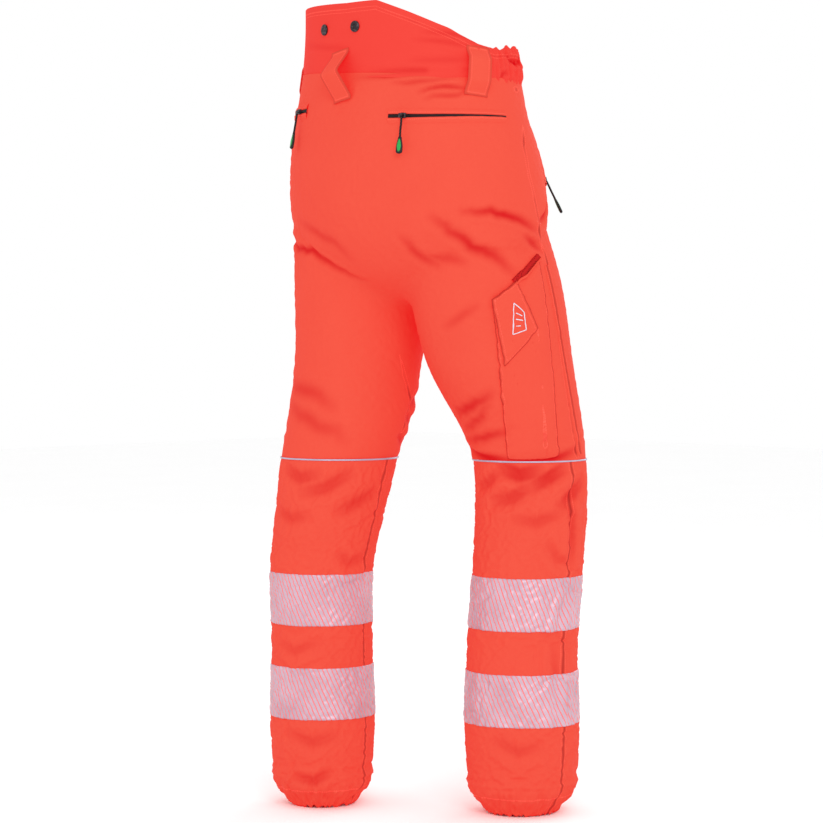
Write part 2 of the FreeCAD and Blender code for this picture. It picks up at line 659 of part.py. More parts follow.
def hand_zip(side):
    """A slanted hand pocket zip with its slider, cord and tag at the lower end."""
    low, along, outward, length = hand_frame(side)
    keep(hand_block(f"hand_zip_{side}", side, size("zip_width"), -size("zip_back"), size("zip_face")),
         f"hand_zip_{side}")
    seat = low + along * size("hand_slider_gap") + outward * size("slider_lift")
    across = outward.cross(along)
    slider(f"hand_slider_{side}", seat, outward, across)
    flat_out = Vector(outward.x, outward.y, 0).normalize()
    puller("hand", side, seat + outward * ring_lift(), flat_out)


def fly():
    """The fly: a leaning zip behind its opening, the slider with its tab, and the placket over them."""
    lean = Rotation(Vector(1, 0, 0), -size("fly_zip_lean"))
    out = lean.multVec(Vector(0, -1, 0))
    top = Vector(0, size("fly_zip_y"), size("fly_high") - 2)
    low = top - lean.multVec(UP) * size("fly_zip_length")
    tape = doc.addObject("Part::Box", "fly_zip")
    place(tape, "-dims.fly_zip_half", f"{low.y}", f"{low.z}", lean)
    bind(tape, Length="2 * dims.fly_zip_half", Width="dims.fly_tape", Height="dims.fly_zip_length")
    keep(tape, "fly_zip")
    body = new_body("fly_slider")
    plate = draw(plane_sketch(body, "fly_slider_plate"), [
        ("-dims.fly_slider_half", "-5"), ("dims.fly_slider_half", "-5"), ("dims.fly_slider_half * 0.8", "5"),
        ("-dims.fly_slider_half * 0.8", "5"),
    ])
    pad(body, plate, "fly_slider_thickness", "dims.fly_slider_thickness")
    tab = draw(plane_sketch(body, "fly_slider_tab"), [
        ("-1.6", "2"), ("-2.4", "-dims.fly_tab_length"), ("2.4", "-dims.fly_tab_length"), ("1.6", "2"),
    ])
    pad(body, tab, "fly_tab_thickness", "dims.fly_slider_thickness + 1.2")
    seat = top - lean.multVec(UP) * 8 + out * 0.3
    place(body, "0", f"{seat.y}", f"{seat.z}", facing(out, lean.multVec(UP)))
    keep(body, "fly_slider")
    region = block("placket_region", ("-dims.fly_half_width", "dims.fly_half_width"), FRONT,
                   ("dims.fly_low - 12", "dims.waist_height - 1"))
    keep(cloth("fly_placket", garment_form("placket_face"), garment_form("trim_back"), [region]), "fly_placket")


# ---------------------------------------------------------------- loops and studs

def belt_loop(name, top, low, stand_off, level):
    """A strap sewn down at both ends that stands off the waist between them."""
    body = new_body(f"loop_{name}")
    top = Vector(*top)
    low = Vector(*low)
    reach = (top - low).Length / 2
    end = reach - size("loop_end")
    inner = stand_off - size("loop_cloth") * 1.1
    back = size("trim_gap")
    face = back + size("loop_cloth")
    side_view = [
        (back, reach), (back, end), (inner, level), (inner, -level), (back, -end), (back, -reach),
        (face, -reach), (face, -end - 0.6), (stand_off, -level), (stand_off, level), (face, end + 0.6),
        (face, reach),
    ]
    sketch = plane_sketch(body, f"loop_{name}_side", "YZ_Plane")
    draw(sketch, [(f"{rise:.3f}", f"{out:.3f}") for out, rise in side_view])
    pad(body, sketch, f"loop_{name}_width", "dims.loop_width", centred=True)
    up = (top - low).normalize()
    flat = Vector(top.x / size("waist_half_width") ** 2, top.y / size("waist_half_depth") ** 2, 0).normalize()
    outward = (flat - up * flat.dot(up)).normalize()
    middle = (top + low) / 2
    place(body, f"{middle.x}", f"{middle.y}", f"{middle.z}", facing(outward, up))
    return body


def snap_stud(name, spot):
    """A round snap stud on a short shank, with a dimple in its cap."""
    body = new_body(f"stud_{name}")
    cap = "dims.stud_height - dims.cap_thickness"
    profile = plane_sketch(body, f"stud_{name}_profile", "XZ_Plane")
    draw(profile, [
        ("0", "dims.trim_gap"), ("dims.shank_radius", "dims.trim_gap"), ("dims.shank_radius", cap),
        ("dims.stud_radius", cap), ("dims.stud_radius", "dims.stud_height - 0.6"),
        ("dims.stud_radius - 0.8", "dims.stud_height"), ("dims.dimple_radius", "dims.stud_height"),
        ("dims.dimple_radius - 0.5", "dims.stud_height - dims.dimple_depth"),
        ("0", "dims.stud_height - dims.dimple_depth"),
    ])
    turned = body.newObject("PartDesign::Revolution", f"stud_{name}_turned")
    turned.Profile = profile
    turned.ReferenceAxis = (profile, ["V_Axis"])
    turned.Angle = 360
    spot = Vector(*spot)
    outward = Vector(spot.x / size("waist_half_width") ** 2, spot.y / size("waist_half_depth") ** 2, 0).normalize()
    place(body, f"{spot.x}", f"{spot.y}", f"{spot.z}", facing(outward))
    return body


# ---------------------------------------------------------------- the whole garment

def build():
    """Make every piece, then recompute the document once."""
    gusset = block("gusset_region", ("-dims.gusset_half_width", "dims.gusset_half_width"), WHOLE,
                   ("dims.gusset_low", "dims.gusset_high"))
    keep(cloth("crotch_gusset", garment_form("face"), garment_form("cloth_back"), [gusset]), "crotch_gusset")
    waist_panels()
    bags = pocket_bags()
    for side in SIDES:
        leg_panels(side, gusset)
        lower_leg(side)
        thigh_pad(side, bags[side])
        shin_parts(side)
        rear_zip(side)
        hand_zip(side)
    upper_lining()
    keep(group("knee_piping", [knee_piping(side) for side in SIDES]), "knee_piping")
    keep(group("outseam_welts", [outseam_welt(side) for side in SIDES]), "outseam_welts")
    cargo_pocket()
    fly()
    keep(group("belt_loops", [belt_loop(name, *spec) for name, spec in LOOPS.items()]), "belt_loops")
    keep(group("brace_studs", [snap_stud(name, spot) for name, spot in STUDS.items()]), "brace_studs")
    keep(snap_stud("waist", (0, -129.6, 1081)), "waist_snap")
    doc.recompute()


def check_and_export():
    """Stop at any failed object, then write each piece to its own STEP file."""
    for thing in doc.Objects:
        if "Invalid" in thing.State or "Error" in thing.State:
            raise RuntimeError(f"{thing.Label} failed: {thing.State}")
    os.makedirs("parts", exist_ok=True)
    for piece in nodes:
        shape = piece.Shape
        if shape.isNull() or not shape.isValid() or not shape.Solids:
            raise RuntimeError(f"{piece.Label} has no valid solid")
        shape.exportStep(f"parts/{piece.Label}.step")
        print(f"{piece.Label}: {len(shape.Solids)} solid, {shape.Volume:.0f} mm3")
    print(f"{len(nodes)} pieces")


fill_sheet()
build()
check_and_export()
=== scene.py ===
"""Chainsaw trousers: cloth, pads, bands, zips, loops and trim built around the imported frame.

Metres, in the part's own frame: the front is -Y, the wearer's right is -X and the hems stand on z = 0.
"""
import json
import math

import bmesh
import bpy
import numpy as np
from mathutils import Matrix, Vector
from mathutils.bvhtree import BVHTree


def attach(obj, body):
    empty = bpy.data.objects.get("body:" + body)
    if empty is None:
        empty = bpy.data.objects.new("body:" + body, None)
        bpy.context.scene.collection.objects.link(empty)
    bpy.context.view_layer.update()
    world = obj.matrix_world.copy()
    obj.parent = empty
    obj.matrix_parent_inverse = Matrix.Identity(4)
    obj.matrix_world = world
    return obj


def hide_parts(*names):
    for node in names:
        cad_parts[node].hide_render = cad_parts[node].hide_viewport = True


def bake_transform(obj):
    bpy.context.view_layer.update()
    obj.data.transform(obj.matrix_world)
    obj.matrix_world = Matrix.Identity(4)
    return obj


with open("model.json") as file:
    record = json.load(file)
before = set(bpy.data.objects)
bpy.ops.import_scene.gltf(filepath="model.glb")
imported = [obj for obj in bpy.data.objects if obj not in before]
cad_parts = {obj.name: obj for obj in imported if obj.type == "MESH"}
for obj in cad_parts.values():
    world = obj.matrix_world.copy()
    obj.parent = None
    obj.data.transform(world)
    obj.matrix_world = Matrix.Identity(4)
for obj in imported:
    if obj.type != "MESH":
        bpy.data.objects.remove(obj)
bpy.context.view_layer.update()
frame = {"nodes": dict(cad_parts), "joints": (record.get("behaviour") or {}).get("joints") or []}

SIDES = {"left": 1, "right": -1}
WAIST = Vector((0, 0.026, 0))
KNEE = 0.512
CUFF = 0.045
# Height where the bend behind the knee has faded out.
BEND_END = 0.375
WAIST_SEAM = 1.062
# Rise of the waist seam for each metre towards the wearer's left.
WAIST_TILT = 0.055
CLOTH_THICKNESS = 0.0016

# The filled body: height, x, y from the middle of the waist, half width, half depth.
TRUNK = [
    (1.175, 0, 0, 0.172, 0.128), (1.126, 0, 0, 0.173, 0.1275), (1.080, 0, 0, 0.177, 0.1295),
    (1.035, 0, 0, 0.185, 0.1345), (0.997, 0, 0, 0.194, 0.1405), (0.960, -0.002, -0.003, 0.203, 0.147),
    (0.915, -0.004, -0.007, 0.210, 0.153), (0.860, -0.005, -0.012, 0.211, 0.153),
    (0.810, -0.004, -0.018, 0.197, 0.135), (0.768, 0, -0.022, 0.150, 0.098),
    (0.745, 0, -0.022, 0.095, 0.055),
]
# Each leg from the groin to the hem: height, x, y, half width, half depth.
LEGS = {
    "left": [
        (0.880, 0.097, -0.004, 0.097, 0.112), (0.768, 0.099, -0.006, 0.098, 0.110),
        (0.655, 0.104, 0.003, 0.091, 0.097), (0.580, 0.108, 0.014, 0.0895, 0.0945),
        (0.510, 0.116, 0.031, 0.083, 0.088), (0.424, 0.122, 0.046, 0.077, 0.081),
        (0.366, 0.128, 0.054, 0.074, 0.077), (0.250, 0.128, 0.055, 0.072, 0.075),
        (0.075, 0.128, 0.054, 0.072, 0.075), (0.030, 0.128, 0.054, 0.066, 0.069),
        (0.000, 0.128, 0.054, 0.049, 0.052),
    ],
    "right": [
        (0.880, -0.097, -0.014, 0.097, 0.112), (0.768, -0.104, -0.047, 0.103, 0.118),
        (0.655, -0.104, -0.078, 0.101, 0.112), (0.510, -0.120, -0.126, 0.080, 0.084),
        (0.424, -0.124, -0.124, 0.079, 0.082), (0.366, -0.126, -0.117, 0.078, 0.081),
        (0.250, -0.127, -0.104, 0.078, 0.081), (0.075, -0.128, -0.102, 0.078, 0.081),
        (0.030, -0.128, -0.102, 0.071, 0.074), (0.000, -0.128, -0.102, 0.053, 0.056),
    ],
}
# Turn from the left side (0) over the back (90) to the right (180), and the height of the top edge there.
RIM = [
    (-90, 1.096), (-8, 1.097), (8, 1.100), (22, 1.148), (32, 1.163), (60, 1.161), (90, 1.158),
    (108, 1.159), (125, 1.141), (141, 1.123), (155, 1.107), (165, 1.096), (176, 1.090), (190, 1.093),
    (270, 1.096),
]

# ---- camera, light and floor

def add_camera():
    """The camera stands behind the wearer's right, nearly level, and sees the trousers from far off."""
    lens = bpy.data.cameras.new("camera")
    lens.lens = 120.6
    lens.sensor_width = 36
    lens.shift_x = 0.0018
    camera = bpy.data.objects.new("camera", lens)
    turn = math.radians(225)
    away, height, dip = 4, 0.724, math.radians(2.06)
    camera.location = WAIST + Vector((math.sin(turn), -math.cos(turn), 0)) * away + Vector((0, 0, height))
    camera.rotation_euler = (math.radians(90) - dip, 0, turn)
    bpy.context.scene.collection.objects.link(camera)
    bpy.context.scene.camera = camera


def add_light(name, place, aim, size, power):
    lamp = bpy.data.lights.new(name, "AREA")
    lamp.shape = "DISK"
    lamp.size = size
    lamp.energy = power
    light = bpy.data.objects.new(name, lamp)
    light.location = place
    light.rotation_euler = (Vector(aim) - Vector(place)).to_track_quat("-Z", "Y").to_euler()
    bpy.context.scene.collection.objects.link(light)


def studio():
    """A pale floor under soft light from the camera's side, from above and from the front."""
    scene = bpy.context.scene
    scene.view_settings.view_transform = "Standard"
    world = bpy.data.worlds.new("studio")
    world.use_nodes = True
    backdrop = world.node_tree.nodes["Background"].inputs
    backdrop["Color"].default_value = (1, 1, 1, 1)
    backdrop["Strength"].default_value = 1.0
    scene.world = world
    add_light("key", (-3.4, 2.4, 2.6), (0, 0, 0.65), 2.2, 80)
    add_light("fill", (1.5, 3.6, 1.4), (0, 0, 0.6), 2.4, 10)
    add_light("front", (0.8, -3.6, 2.2), (0, 0, 0.6), 2.6, 30)
    half = 9.0
    corners = np.array([[[x, y, 0] for x in (-half, half)] for y in (half, -half)])
    floor = grid_object("floor", corners, closed=False)
    floor.data.materials.append(floor_material())


# ---- materials

class Shader:
    """A material whose nodes are added one by one and wired by name."""

    def __init__(self, name, roughness=0.8, **inputs):
        self.material = bpy.data.materials.new(name)
        self.material.use_nodes = True
        self.tree = self.material.node_tree
        self.surface = self.tree.nodes["Principled BSDF"]
        self.surface.inputs["Roughness"].default_value = roughness
        for socket, value in inputs.items():
            self.surface.inputs[socket.replace("_", " ")].default_value = value

    def node(self, kind, settings=None, **inputs):
        """Add a node; an input is a number, a colour or another node's output socket."""
        made = self.tree.nodes.new(f"ShaderNode{kind}")
        for name, value in (settings or {}).items():
            setattr(made, name, value)
        for name, value in inputs.items():
            socket = made.inputs[int(name[1:]) if name[0] == "i" and name[1:].isdigit() else name]
            if isinstance(value, bpy.types.NodeSocket):
                self.tree.links.new(value, socket)
            else:
                socket.default_value = value
        return made

    def math(self, operation, first, second=0.0, third=0.0):
        return self.node("Math", {"operation": operation}, i0=first, i1=second, i2=third).outputs[0]

    def mix(self, factor, *colours):
        """Blend two colours, each three numbers or an output socket."""
        first, second = (c if isinstance(c, bpy.types.NodeSocket) else (*c, 1.0) for c in colours)
        return self.node("Mix", {"data_type": "RGBA"}, i0=factor, i6=first, i7=second).outputs[2]

    def ramp(self, value, low, high):
        """Zero below low, one above high, smooth between."""
        return self.node("MapRange", {"interpolation_type": "SMOOTHSTEP"},
                         Value=value, **{"From Min": low, "From Max": high}).outputs[0]

    def place(self):
        return self.node("TexCoord").outputs["Object"]

    def noise(self, scale, detail=2.0, distortion=0.0):
        return self.node("TexNoise", Vector=self.place(), Scale=scale, Detail=detail,
                         Distortion=distortion).outputs["Fac"]

    def wave(self, direction, scale):
        return self.node("TexWave", {"bands_direction": direction}, Vector=self.place(),
                         Scale=scale).outputs["Fac"]

    def attribute(self, name):
        return self.node("Attribute", {"attribute_name": name}).outputs["Fac"]

    def join(self, output, socket):
        self.tree.links.new(output, self.surface.inputs[socket])

    def bump(self, height, distance, strength=1.0):
        made = self.node("Bump", Height=height, Strength=strength, Distance=distance)
        self.join(made.outputs[0], "Normal")

    def colour(self, pattern, dark, light):
        self.join(self.mix(pattern, dark, light), "Base Color")


def two_tone(name, roughness, make_pattern, dark, light, depth, strength, **inputs):
    """A material whose pattern both colours and embosses it."""
    shader = Shader(name, roughness, **inputs)
    pattern = make_pattern(shader)
    shader.colour(pattern, dark, light)
    shader.bump(pattern, depth, strength)
    return shader.material


def sewn(shader, height):
    """Add a seam's ditch and its dashed row of stitches, from the distances stored on the mesh."""
    gap = shader.attribute("seam_gap")
    run = shader.attribute("seam_run")
    ditch = shader.math("SUBTRACT", 1.0, shader.ramp(gap, 0.0004, 0.0030))
    row = shader.math("COMPARE", gap, 0.0042, 0.0005)
    dash = shader.math("LESS_THAN", shader.math("FRACT", shader.math("MULTIPLY", run, 330.0)), 0.72)
    stitch = shader.math("MULTIPLY", row, dash)
    lowered = shader.math("MULTIPLY_ADD", ditch, -0.9, height)
    return shader.math("MULTIPLY_ADD", stitch, 0.35, lowered), ditch, stitch


def cloth_material(name, base, painted_glow, weave):
    """Woven stretch work cloth with a fine twill, faint mottling, seams and stitches.

    Its fluorescent dye is stood for by a painted red glow, an emission colour; the glow and the base
    colour are darker in seams and folds as painted shade.
    """
    shader = Shader(name, 0.85, Specular_IOR_Level=0.08, Emission_Strength=1.0)
    cloudy = shader.noise(14.0, 4.0)
    fold = shader.attribute("fold")
    shade = shader.mix(cloudy, [c * 0.93 for c in base], [c * 1.05 for c in base])
    # Painted shade: the colour turns a darker, deeper red inside folds.
    shade = shader.mix(shader.math("MULTIPLY", fold, 0.9), shade, (base[0] * 0.6, 0.002, 0.004))
    twill = shader.math("MULTIPLY", shader.wave("DIAGONAL", weave), shader.wave("Z", weave * 0.8))
    height = shader.math("MULTIPLY_ADD", shader.noise(900.0), 0.10, shader.math("MULTIPLY", twill, 0.07))
    height, ditch, stitch = sewn(shader, height)
    # Painted shade: the colour turns a darker red in the seams' ditches.
    shade = shader.mix(shader.math("MULTIPLY", ditch, 0.55), shade, (base[0] * 0.3, 0.001, 0.002))
    shader.colour(shader.math("MULTIPLY", stitch, 0.35), shade, (0.62, 0.17, 0.12))
    # Painted shade: the glow is dimmed in seam ditches and folds.
    painted_shade = shader.math("MULTIPLY_ADD", ditch, 0.6, shader.math("MULTIPLY", fold, 0.22))
    shader.join(shader.mix(painted_shade, painted_glow, (painted_glow[0] * 0.4, 0, 0.004)), "Emission Color")
    shader.bump(height, 0.0011, 0.9)
    return shader.material


def lining_material():
    """Dark red mesh lining: a grid of small round holes."""
    def holes(shader):
        cells = shader.node("TexVoronoi", Vector=shader.place(), Scale=420.0, Randomness=0.1)
        return shader.ramp(cells.outputs["Distance"], 0.18, 0.36)
    return two_tone("lining_cloth", 0.9, holes, (0.12, 0.004, 0.004), (0.42, 0.012, 0.012), 0.0005, 0.6,
                    Specular_IOR_Level=0.05)


def padding_material():
    """Loose cream protection fibres under a thin cover."""
    return two_tone("protection_pad", 0.95, lambda shader: shader.noise(300.0, 6.0, 3.0),
                    (0.58, 0.53, 0.40), (0.86, 0.83, 0.73), 0.0012, 0.8, Sheen_Weight=0.3)


def lines(shader, flat, slant, pitch, width):
    """One where a family of slanted parallel lines runs over a mesh laid flat, in metres."""
    parts = shader.node("SeparateXYZ", Vector=flat)
    rise = shader.math("MULTIPLY", parts.outputs["Y"], 1 / math.tan(math.radians(slant)))
    across = shader.math("ADD", parts.outputs["X"], rise)
    phase = shader.math("FRACT", shader.math("MULTIPLY", across, math.sin(math.radians(slant)) / pitch))
    return shader.math("LESS_THAN", phase, width / pitch)


def tape_material():
    """Silver-pink reflective tape with slanted cuts that show the cloth, and a finer crossing mesh."""
    shader = Shader("reflective_tape", 0.42, Metallic=0.15, Specular_IOR_Level=0.6, Emission_Strength=1.0)
    flat = shader.node("UVMap").outputs[0]
    cuts = lines(shader, flat, 66.0, 0.0062, 0.0014)
    fine = lines(shader, flat, -62.0, 0.0021, 0.0005)
    cloudy = shader.noise(22.0, 5.0)
    silver = shader.mix(cloudy, (0.32, 0.20, 0.26), (0.60, 0.44, 0.53))
    silver = shader.mix(shader.math("MULTIPLY", fine, 0.35), silver, (0.42, 0.20, 0.22))
    shader.colour(shader.math("MULTIPLY", cuts, 0.85), silver, (0.62, 0.11, 0.08))
    # Painted glow: the cuts glow red like the cloth's painted fluorescence, and the silver glows faintly.
    shader.join(shader.mix(cuts, (0.05, 0.035, 0.04), (0.30, 0.0, 0.01)), "Emission Color")
    height = shader.math("MULTIPLY_ADD", cloudy, 0.6, shader.math("MULTIPLY", cuts, -0.4))
    shader.bump(height, 0.0008, 0.6)
    return shader.material


def piping_material():
    """Pale blue-grey reflective piping."""
    shader = Shader("reflective_piping", 0.4, Metallic=0.2)
    shader.colour(shader.noise(60.0), (0.30, 0.29, 0.40), (0.48, 0.44, 0.56))
    shader.bump(shader.noise(500.0), 0.0004, 0.5)
    return shader.material


def zip_material():
    """Black zip tape with two rows of coil teeth along its middle."""
    shader = Shader("zip_tape", 0.6, Specular_IOR_Level=0.2)
    parts = shader.node("SeparateXYZ", Vector=shader.node("UVMap").outputs[0])
    pitch, half_width = 0.0013, 0.0016
    coil = shader.math("SINE", shader.math("MULTIPLY", parts.outputs["X"], math.tau / pitch))
    middle = shader.math("COMPARE", parts.outputs["Y"], 0.0, half_width)
    tooth = shader.math("MULTIPLY", shader.ramp(coil, -0.4, 0.6), middle)
    shader.colour(tooth, (0.004, 0.002, 0.002), (0.022, 0.014, 0.016))
    shader.bump(shader.math("MULTIPLY_ADD", tooth, 1.0, shader.noise(1500.0)), 0.0006, 0.9)
    return shader.material


def metal_material():
    """Black coated metal, a little rubbed."""
    shader = Shader("dark_metal", 0.32, Metallic=0.75)
    rub = shader.noise(260.0, 5.0)
    shader.colour(shader.ramp(rub, 0.45, 0.75), (0.022, 0.015, 0.018), (0.11, 0.09, 0.10))
    gloss = shader.node("MapRange", Value=rub, **{"To Min": 0.25, "To Max": 0.5})
    shader.join(gloss.outputs[0], "Roughness")
    shader.bump(rub, 0.0002, 0.4)
    return shader.material


def cord_material():
    """Twisted black cord."""
    return two_tone("cord", 0.8, lambda shader: shader.wave("DIAGONAL", 150.0),
                    (0.004, 0.002, 0.002), (0.045, 0.028, 0.030), 0.0007, 1.0, Specular_IOR_Level=0.15)


def rubber_material(name, dark, light, roughness=0.5):
    """Moulded rubber with a fine grain."""
    return two_tone(name, roughness, lambda shader: shader.noise(700.0, 3.0), dark, light, 0.0003, 0.5,
                    Specular_IOR_Level=0.25)


def elastic_material():
    """Ribbed woven elastic."""
    return two_tone("elastic", 0.85, lambda shader: shader.wave("Z", 120.0),
                    (0.42, 0.03, 0.02), (0.72, 0.08, 0.05), 0.0006, 0.8, Sheen_Weight=0.2)


def floor_material():
    shader = Shader("floor", 0.9)
    shader.colour(shader.noise(3.0), (0.97, 0.97, 0.97), (0.99, 0.99, 0.99))
    return shader.material


# A painted red glow, standing for the dye's fluorescence: it keeps the cloth's red bright in shade.
PAINTED_GLOW = (0.66, 0.0, 0.004)
# Each look's material and its slot in the frame.
LOOKS = {
    "cloth": (cloth_material("orange_cloth", (0.20, 0.070, 0.040), PAINTED_GLOW, 330.0), "orange_cloth"),
    "stretch": (cloth_material("stretch_cloth", (0.20, 0.046, 0.031), PAINTED_GLOW, 420.0), "orange_cloth"),
    "lining": (lining_material(), "lining_cloth"),
    "padding": (padding_material(), "protection_pad"),
    "tape": (tape_material(), "reflective_tape"),
    "piping": (piping_material(), "reflective_tape"),
    "zip": (zip_material(), "zip_tape"),
    "metal": (metal_material(), "dark_metal"),
    "cord": (cord_material(), "cord"),
    "tag": (rubber_material("tag", (0.004, 0.003, 0.004), (0.012, 0.010, 0.011)), "tag"),
    "inlay": (rubber_material("tag_inlay", (0.008, 0.16, 0.03), (0.03, 0.42, 0.09), 0.45), "tag"),
    "elastic": (elastic_material(), "elastic"),
    "badge": (rubber_material("badge_print", (0.55, 0.52, 0.60), (0.70, 0.66, 0.74), 0.6), "tag"),
}


# ---- meshes

def grid_object(name, grid, closed=True, spread=None):
    """A mesh over a grid of points in rows from top to bottom, as closed rings or open; UVs in metres."""
    rows, columns = grid.shape[:2]
    if spread is None:
        step = np.linalg.norm(np.diff(grid[rows // 2], axis=0), axis=1).mean()
        spread = np.stack(np.meshgrid(np.arange(columns + 1) * step, -path_runs(grid[:, 0])), axis=-1)
    faces = []
    corners = []
    for row in range(rows - 1):
        for column in range(columns if closed else columns - 1):
            upper, lower, after = row * columns, (row + 1) * columns, (column + 1) % columns
            faces.append((lower + column, lower + after, upper + after, upper + column))
            beside = min(column + 1, spread.shape[1] - 1)
            corners += [spread[row + 1, column], spread[row + 1, beside],
                        spread[row, beside], spread[row, column]]
    mesh = bpy.data.meshes.new(name)
    mesh.from_pydata(grid.reshape(-1, 3).tolist(), [], faces)
    mesh.uv_layers.new(name="flat").data.foreach_set("uv", np.array(corners, np.float32).ravel())
    return link(name, mesh)


def path_runs(path):
    """Length run along a path up to each of its points."""
    return np.concatenate([[0], np.cumsum(np.linalg.norm(np.diff(path, axis=0), axis=1))])


def link(name, data):
    """An object in the scene, smooth if it is a mesh."""
    made = bpy.data.objects.new(name, data)
    bpy.context.scene.collection.objects.link(made)
    if made.type == "MESH":
        smooth(made)
    return made


def smooth(made):
    made.data.polygons.foreach_set("use_smooth", np.ones(len(made.data.polygons), bool))


def vectors(collection, name):
    """One vector of every element in a collection of mesh data."""
    flat = np.empty(len(collection) * 3, np.float32)
    collection.foreach_get(name, flat)
    return flat.reshape(-1, 3).astype(float)


def points_of(made):
    return vectors(made.data.vertices, "co")


def normals_of(made):
    return vectors(made.data.vertex_normals, "vector")


def set_points(made, points):
    made.data.vertices.foreach_set("co", points.astype(np.float32).ravel())
    made.data.update()


def modify(made, kind, **settings):
    """Change a mesh by one modifier and keep the result."""
    modifier = made.modifiers.new(kind.lower(), kind)
    for name, value in settings.items():
        setattr(modifier, name, value)
    shape = made.evaluated_get(bpy.context.evaluated_depsgraph_get())
    old, made.data = made.data, bpy.data.meshes.new_from_object(shape)
    made.modifiers.clear()
    bpy.data.meshes.remove(old)
    smooth(made)


def weigh(made, name, weights):
    """A vertex group whose weights are rounded to tenths."""
    group = made.vertex_groups.new(name=name)
    rounded = np.round(weights, 1)
    for level in np.unique(rounded):
        group.add(np.flatnonzero(rounded == level).tolist(), float(level), "REPLACE")


def store(made, name, values):
    """Store one number for each vertex, for the materials to read."""
    layer = made.data.attributes.get(name) or made.data.attributes.new(name, "FLOAT", "POINT")
    layer.data.foreach_set("value", np.asarray(values, np.float32).ravel())


def steps(value, low, high):
    """A smooth step from zero at low to one at high."""
    t = np.clip((value - low) / (high - low), 0, 1)
    return t * t * (3 - 2 * t)


def follow(levels, heights):
    """Smooth curves through a table of levels, read at any heights."""
    table = np.array(sorted(levels), float)
    z, rows = table[:, 0], table[:, 1:]
    slopes = np.gradient(rows, z, axis=0)
    at = np.clip(np.searchsorted(z, heights) - 1, 0, len(z) - 2)
    span = (z[at + 1] - z[at])[:, None]
    t = np.clip((heights - z[at])[:, None] / span, 0, 1)
    start = (2 * t**3 - 3 * t**2 + 1) * rows[at] + (t**3 - 2 * t**2 + t) * span * slopes[at]
    return start + (3 * t**2 - 2 * t**3) * rows[at + 1] + (t**3 - t**2) * span * slopes[at + 1]


def around(levels, heights, turns, lift=0.0):
    """Points on a table of ellipses at equal-sized arrays of heights and turns, lifted outwards."""
    across, along, wide, deep = follow(levels, heights.ravel()).T.reshape(4, *heights.shape)
    x = across + (wide + lift) * np.cos(turns)
    y = WAIST.y + along + (deep + lift) * np.sin(turns)
    return np.stack([x, y, heights], axis=-1)


def rings(levels, heights, columns):
    """Closed rings of points on a table of ellipses, one for each height."""
    turns = np.linspace(0, math.tau, columns, endpoint=False)
    return around(levels, *np.broadcast_arrays(heights[:, None], turns))


def closed_tube(name, levels, low, high):
    """A solid of rings, capped at both ends."""
    heights = np.linspace(high, low, int((high - low) / 0.01) + 1)
    tube = grid_object(name, rings(levels, heights, 96))
    form = bmesh.new()
    form.from_mesh(tube.data)
    bmesh.ops.holes_fill(form, edges=[edge for edge in form.edges if edge.is_boundary], sides=0)
    form.to_mesh(tube.data)
    form.free()
    return tube


def unite(name, objects):
    """Join meshes into one object."""
    form = bmesh.new()
    for part in objects:
        form.from_mesh(part.data)
        bpy.data.objects.remove(part)
    mesh = bpy.data.meshes.new(name)
    form.to_mesh(mesh)
    form.free()
    return link(name, mesh)


def slice_off(made, place, normal):
    """Remove what lies beyond a plane."""
    form = bmesh.new()
    form.from_mesh(made.data)
    everything = form.verts[:] + form.edges[:] + form.faces[:]
    bmesh.ops.bisect_plane(form, geom=everything, plane_co=place, plane_no=normal, clear_outer=True)
    form.to_mesh(made.data)
    form.free()
    smooth(made)


# ---- folds and draping

def near_path(points, path):
    """Distance of every point to a path, and how far along the path its nearest place is."""
    gap = np.full(len(points), 1e9)
    run = np.zeros(len(points))
    done = 0.0
    for start, end in zip(path[:-1], path[1:]):
        start = np.array(start, float)
        reach = np.array(end, float) - start
        length = np.linalg.norm(reach)
        t = np.clip(((points - start) @ reach) / length**2, 0, 1)
        away = np.linalg.norm(points - start - t[:, None] * reach, axis=1)
        nearer = away < gap
        gap[nearer] = away[nearer]
        run[nearer] = done + t[nearer] * length
        done += length
    return gap, run, done


def crease(points, normals, path, depth, width):
    """Press a fold into cloth along a path, with a soft ridge on each side, fading at both ends."""
    gap, run, length = near_path(points, path)
    fade = np.sin(np.clip(run / length, 0, 1) * math.pi) ** 0.6
    across = gap / width
    shape = -np.exp(-across**2) + 0.55 * np.exp(-((across - 1.7) ** 2) * 1.4)
    return points + normals * (depth * fade * shape)[:, None]


def creased(made, creases):
    """Press folds given in millimetres into a mesh, and store how deep inside a fold each point lies,
    which the cloth's material darkens as painted shade.
    """
    points, normals = points_of(made), normals_of(made)
    tree = surface_tree(made)
    fold = np.zeros(len(points))
    for path, depth, width in creases:
        depth, width = depth / 1000, width / 1000
        path = [tree.find_nearest(Vector(place))[0] for place in fine_path(np.array(path) / 1000, 0.008)]
        gap, run, length = near_path(points, path)
        fade = np.sin(np.clip(run / length, 0, 1) * math.pi)
        fold = np.maximum(fold, fade * np.exp(-((gap / width * 1.25) ** 2)) * min(1, depth / 0.0036))
        points = crease(points, normals, path, depth, width)
    set_points(made, points)
    store(made, "fold", fold)


DRAPE = {"quality": 5, "mass": 0.25, "tension_stiffness": 12, "compression_stiffness": 12,
         "shear_stiffness": 4, "bending_stiffness": 0.4, "air_damping": 2,
         "vertex_group_mass": "held", "pin_stiffness": 1.0}
DRAPE_FRAMES = 14


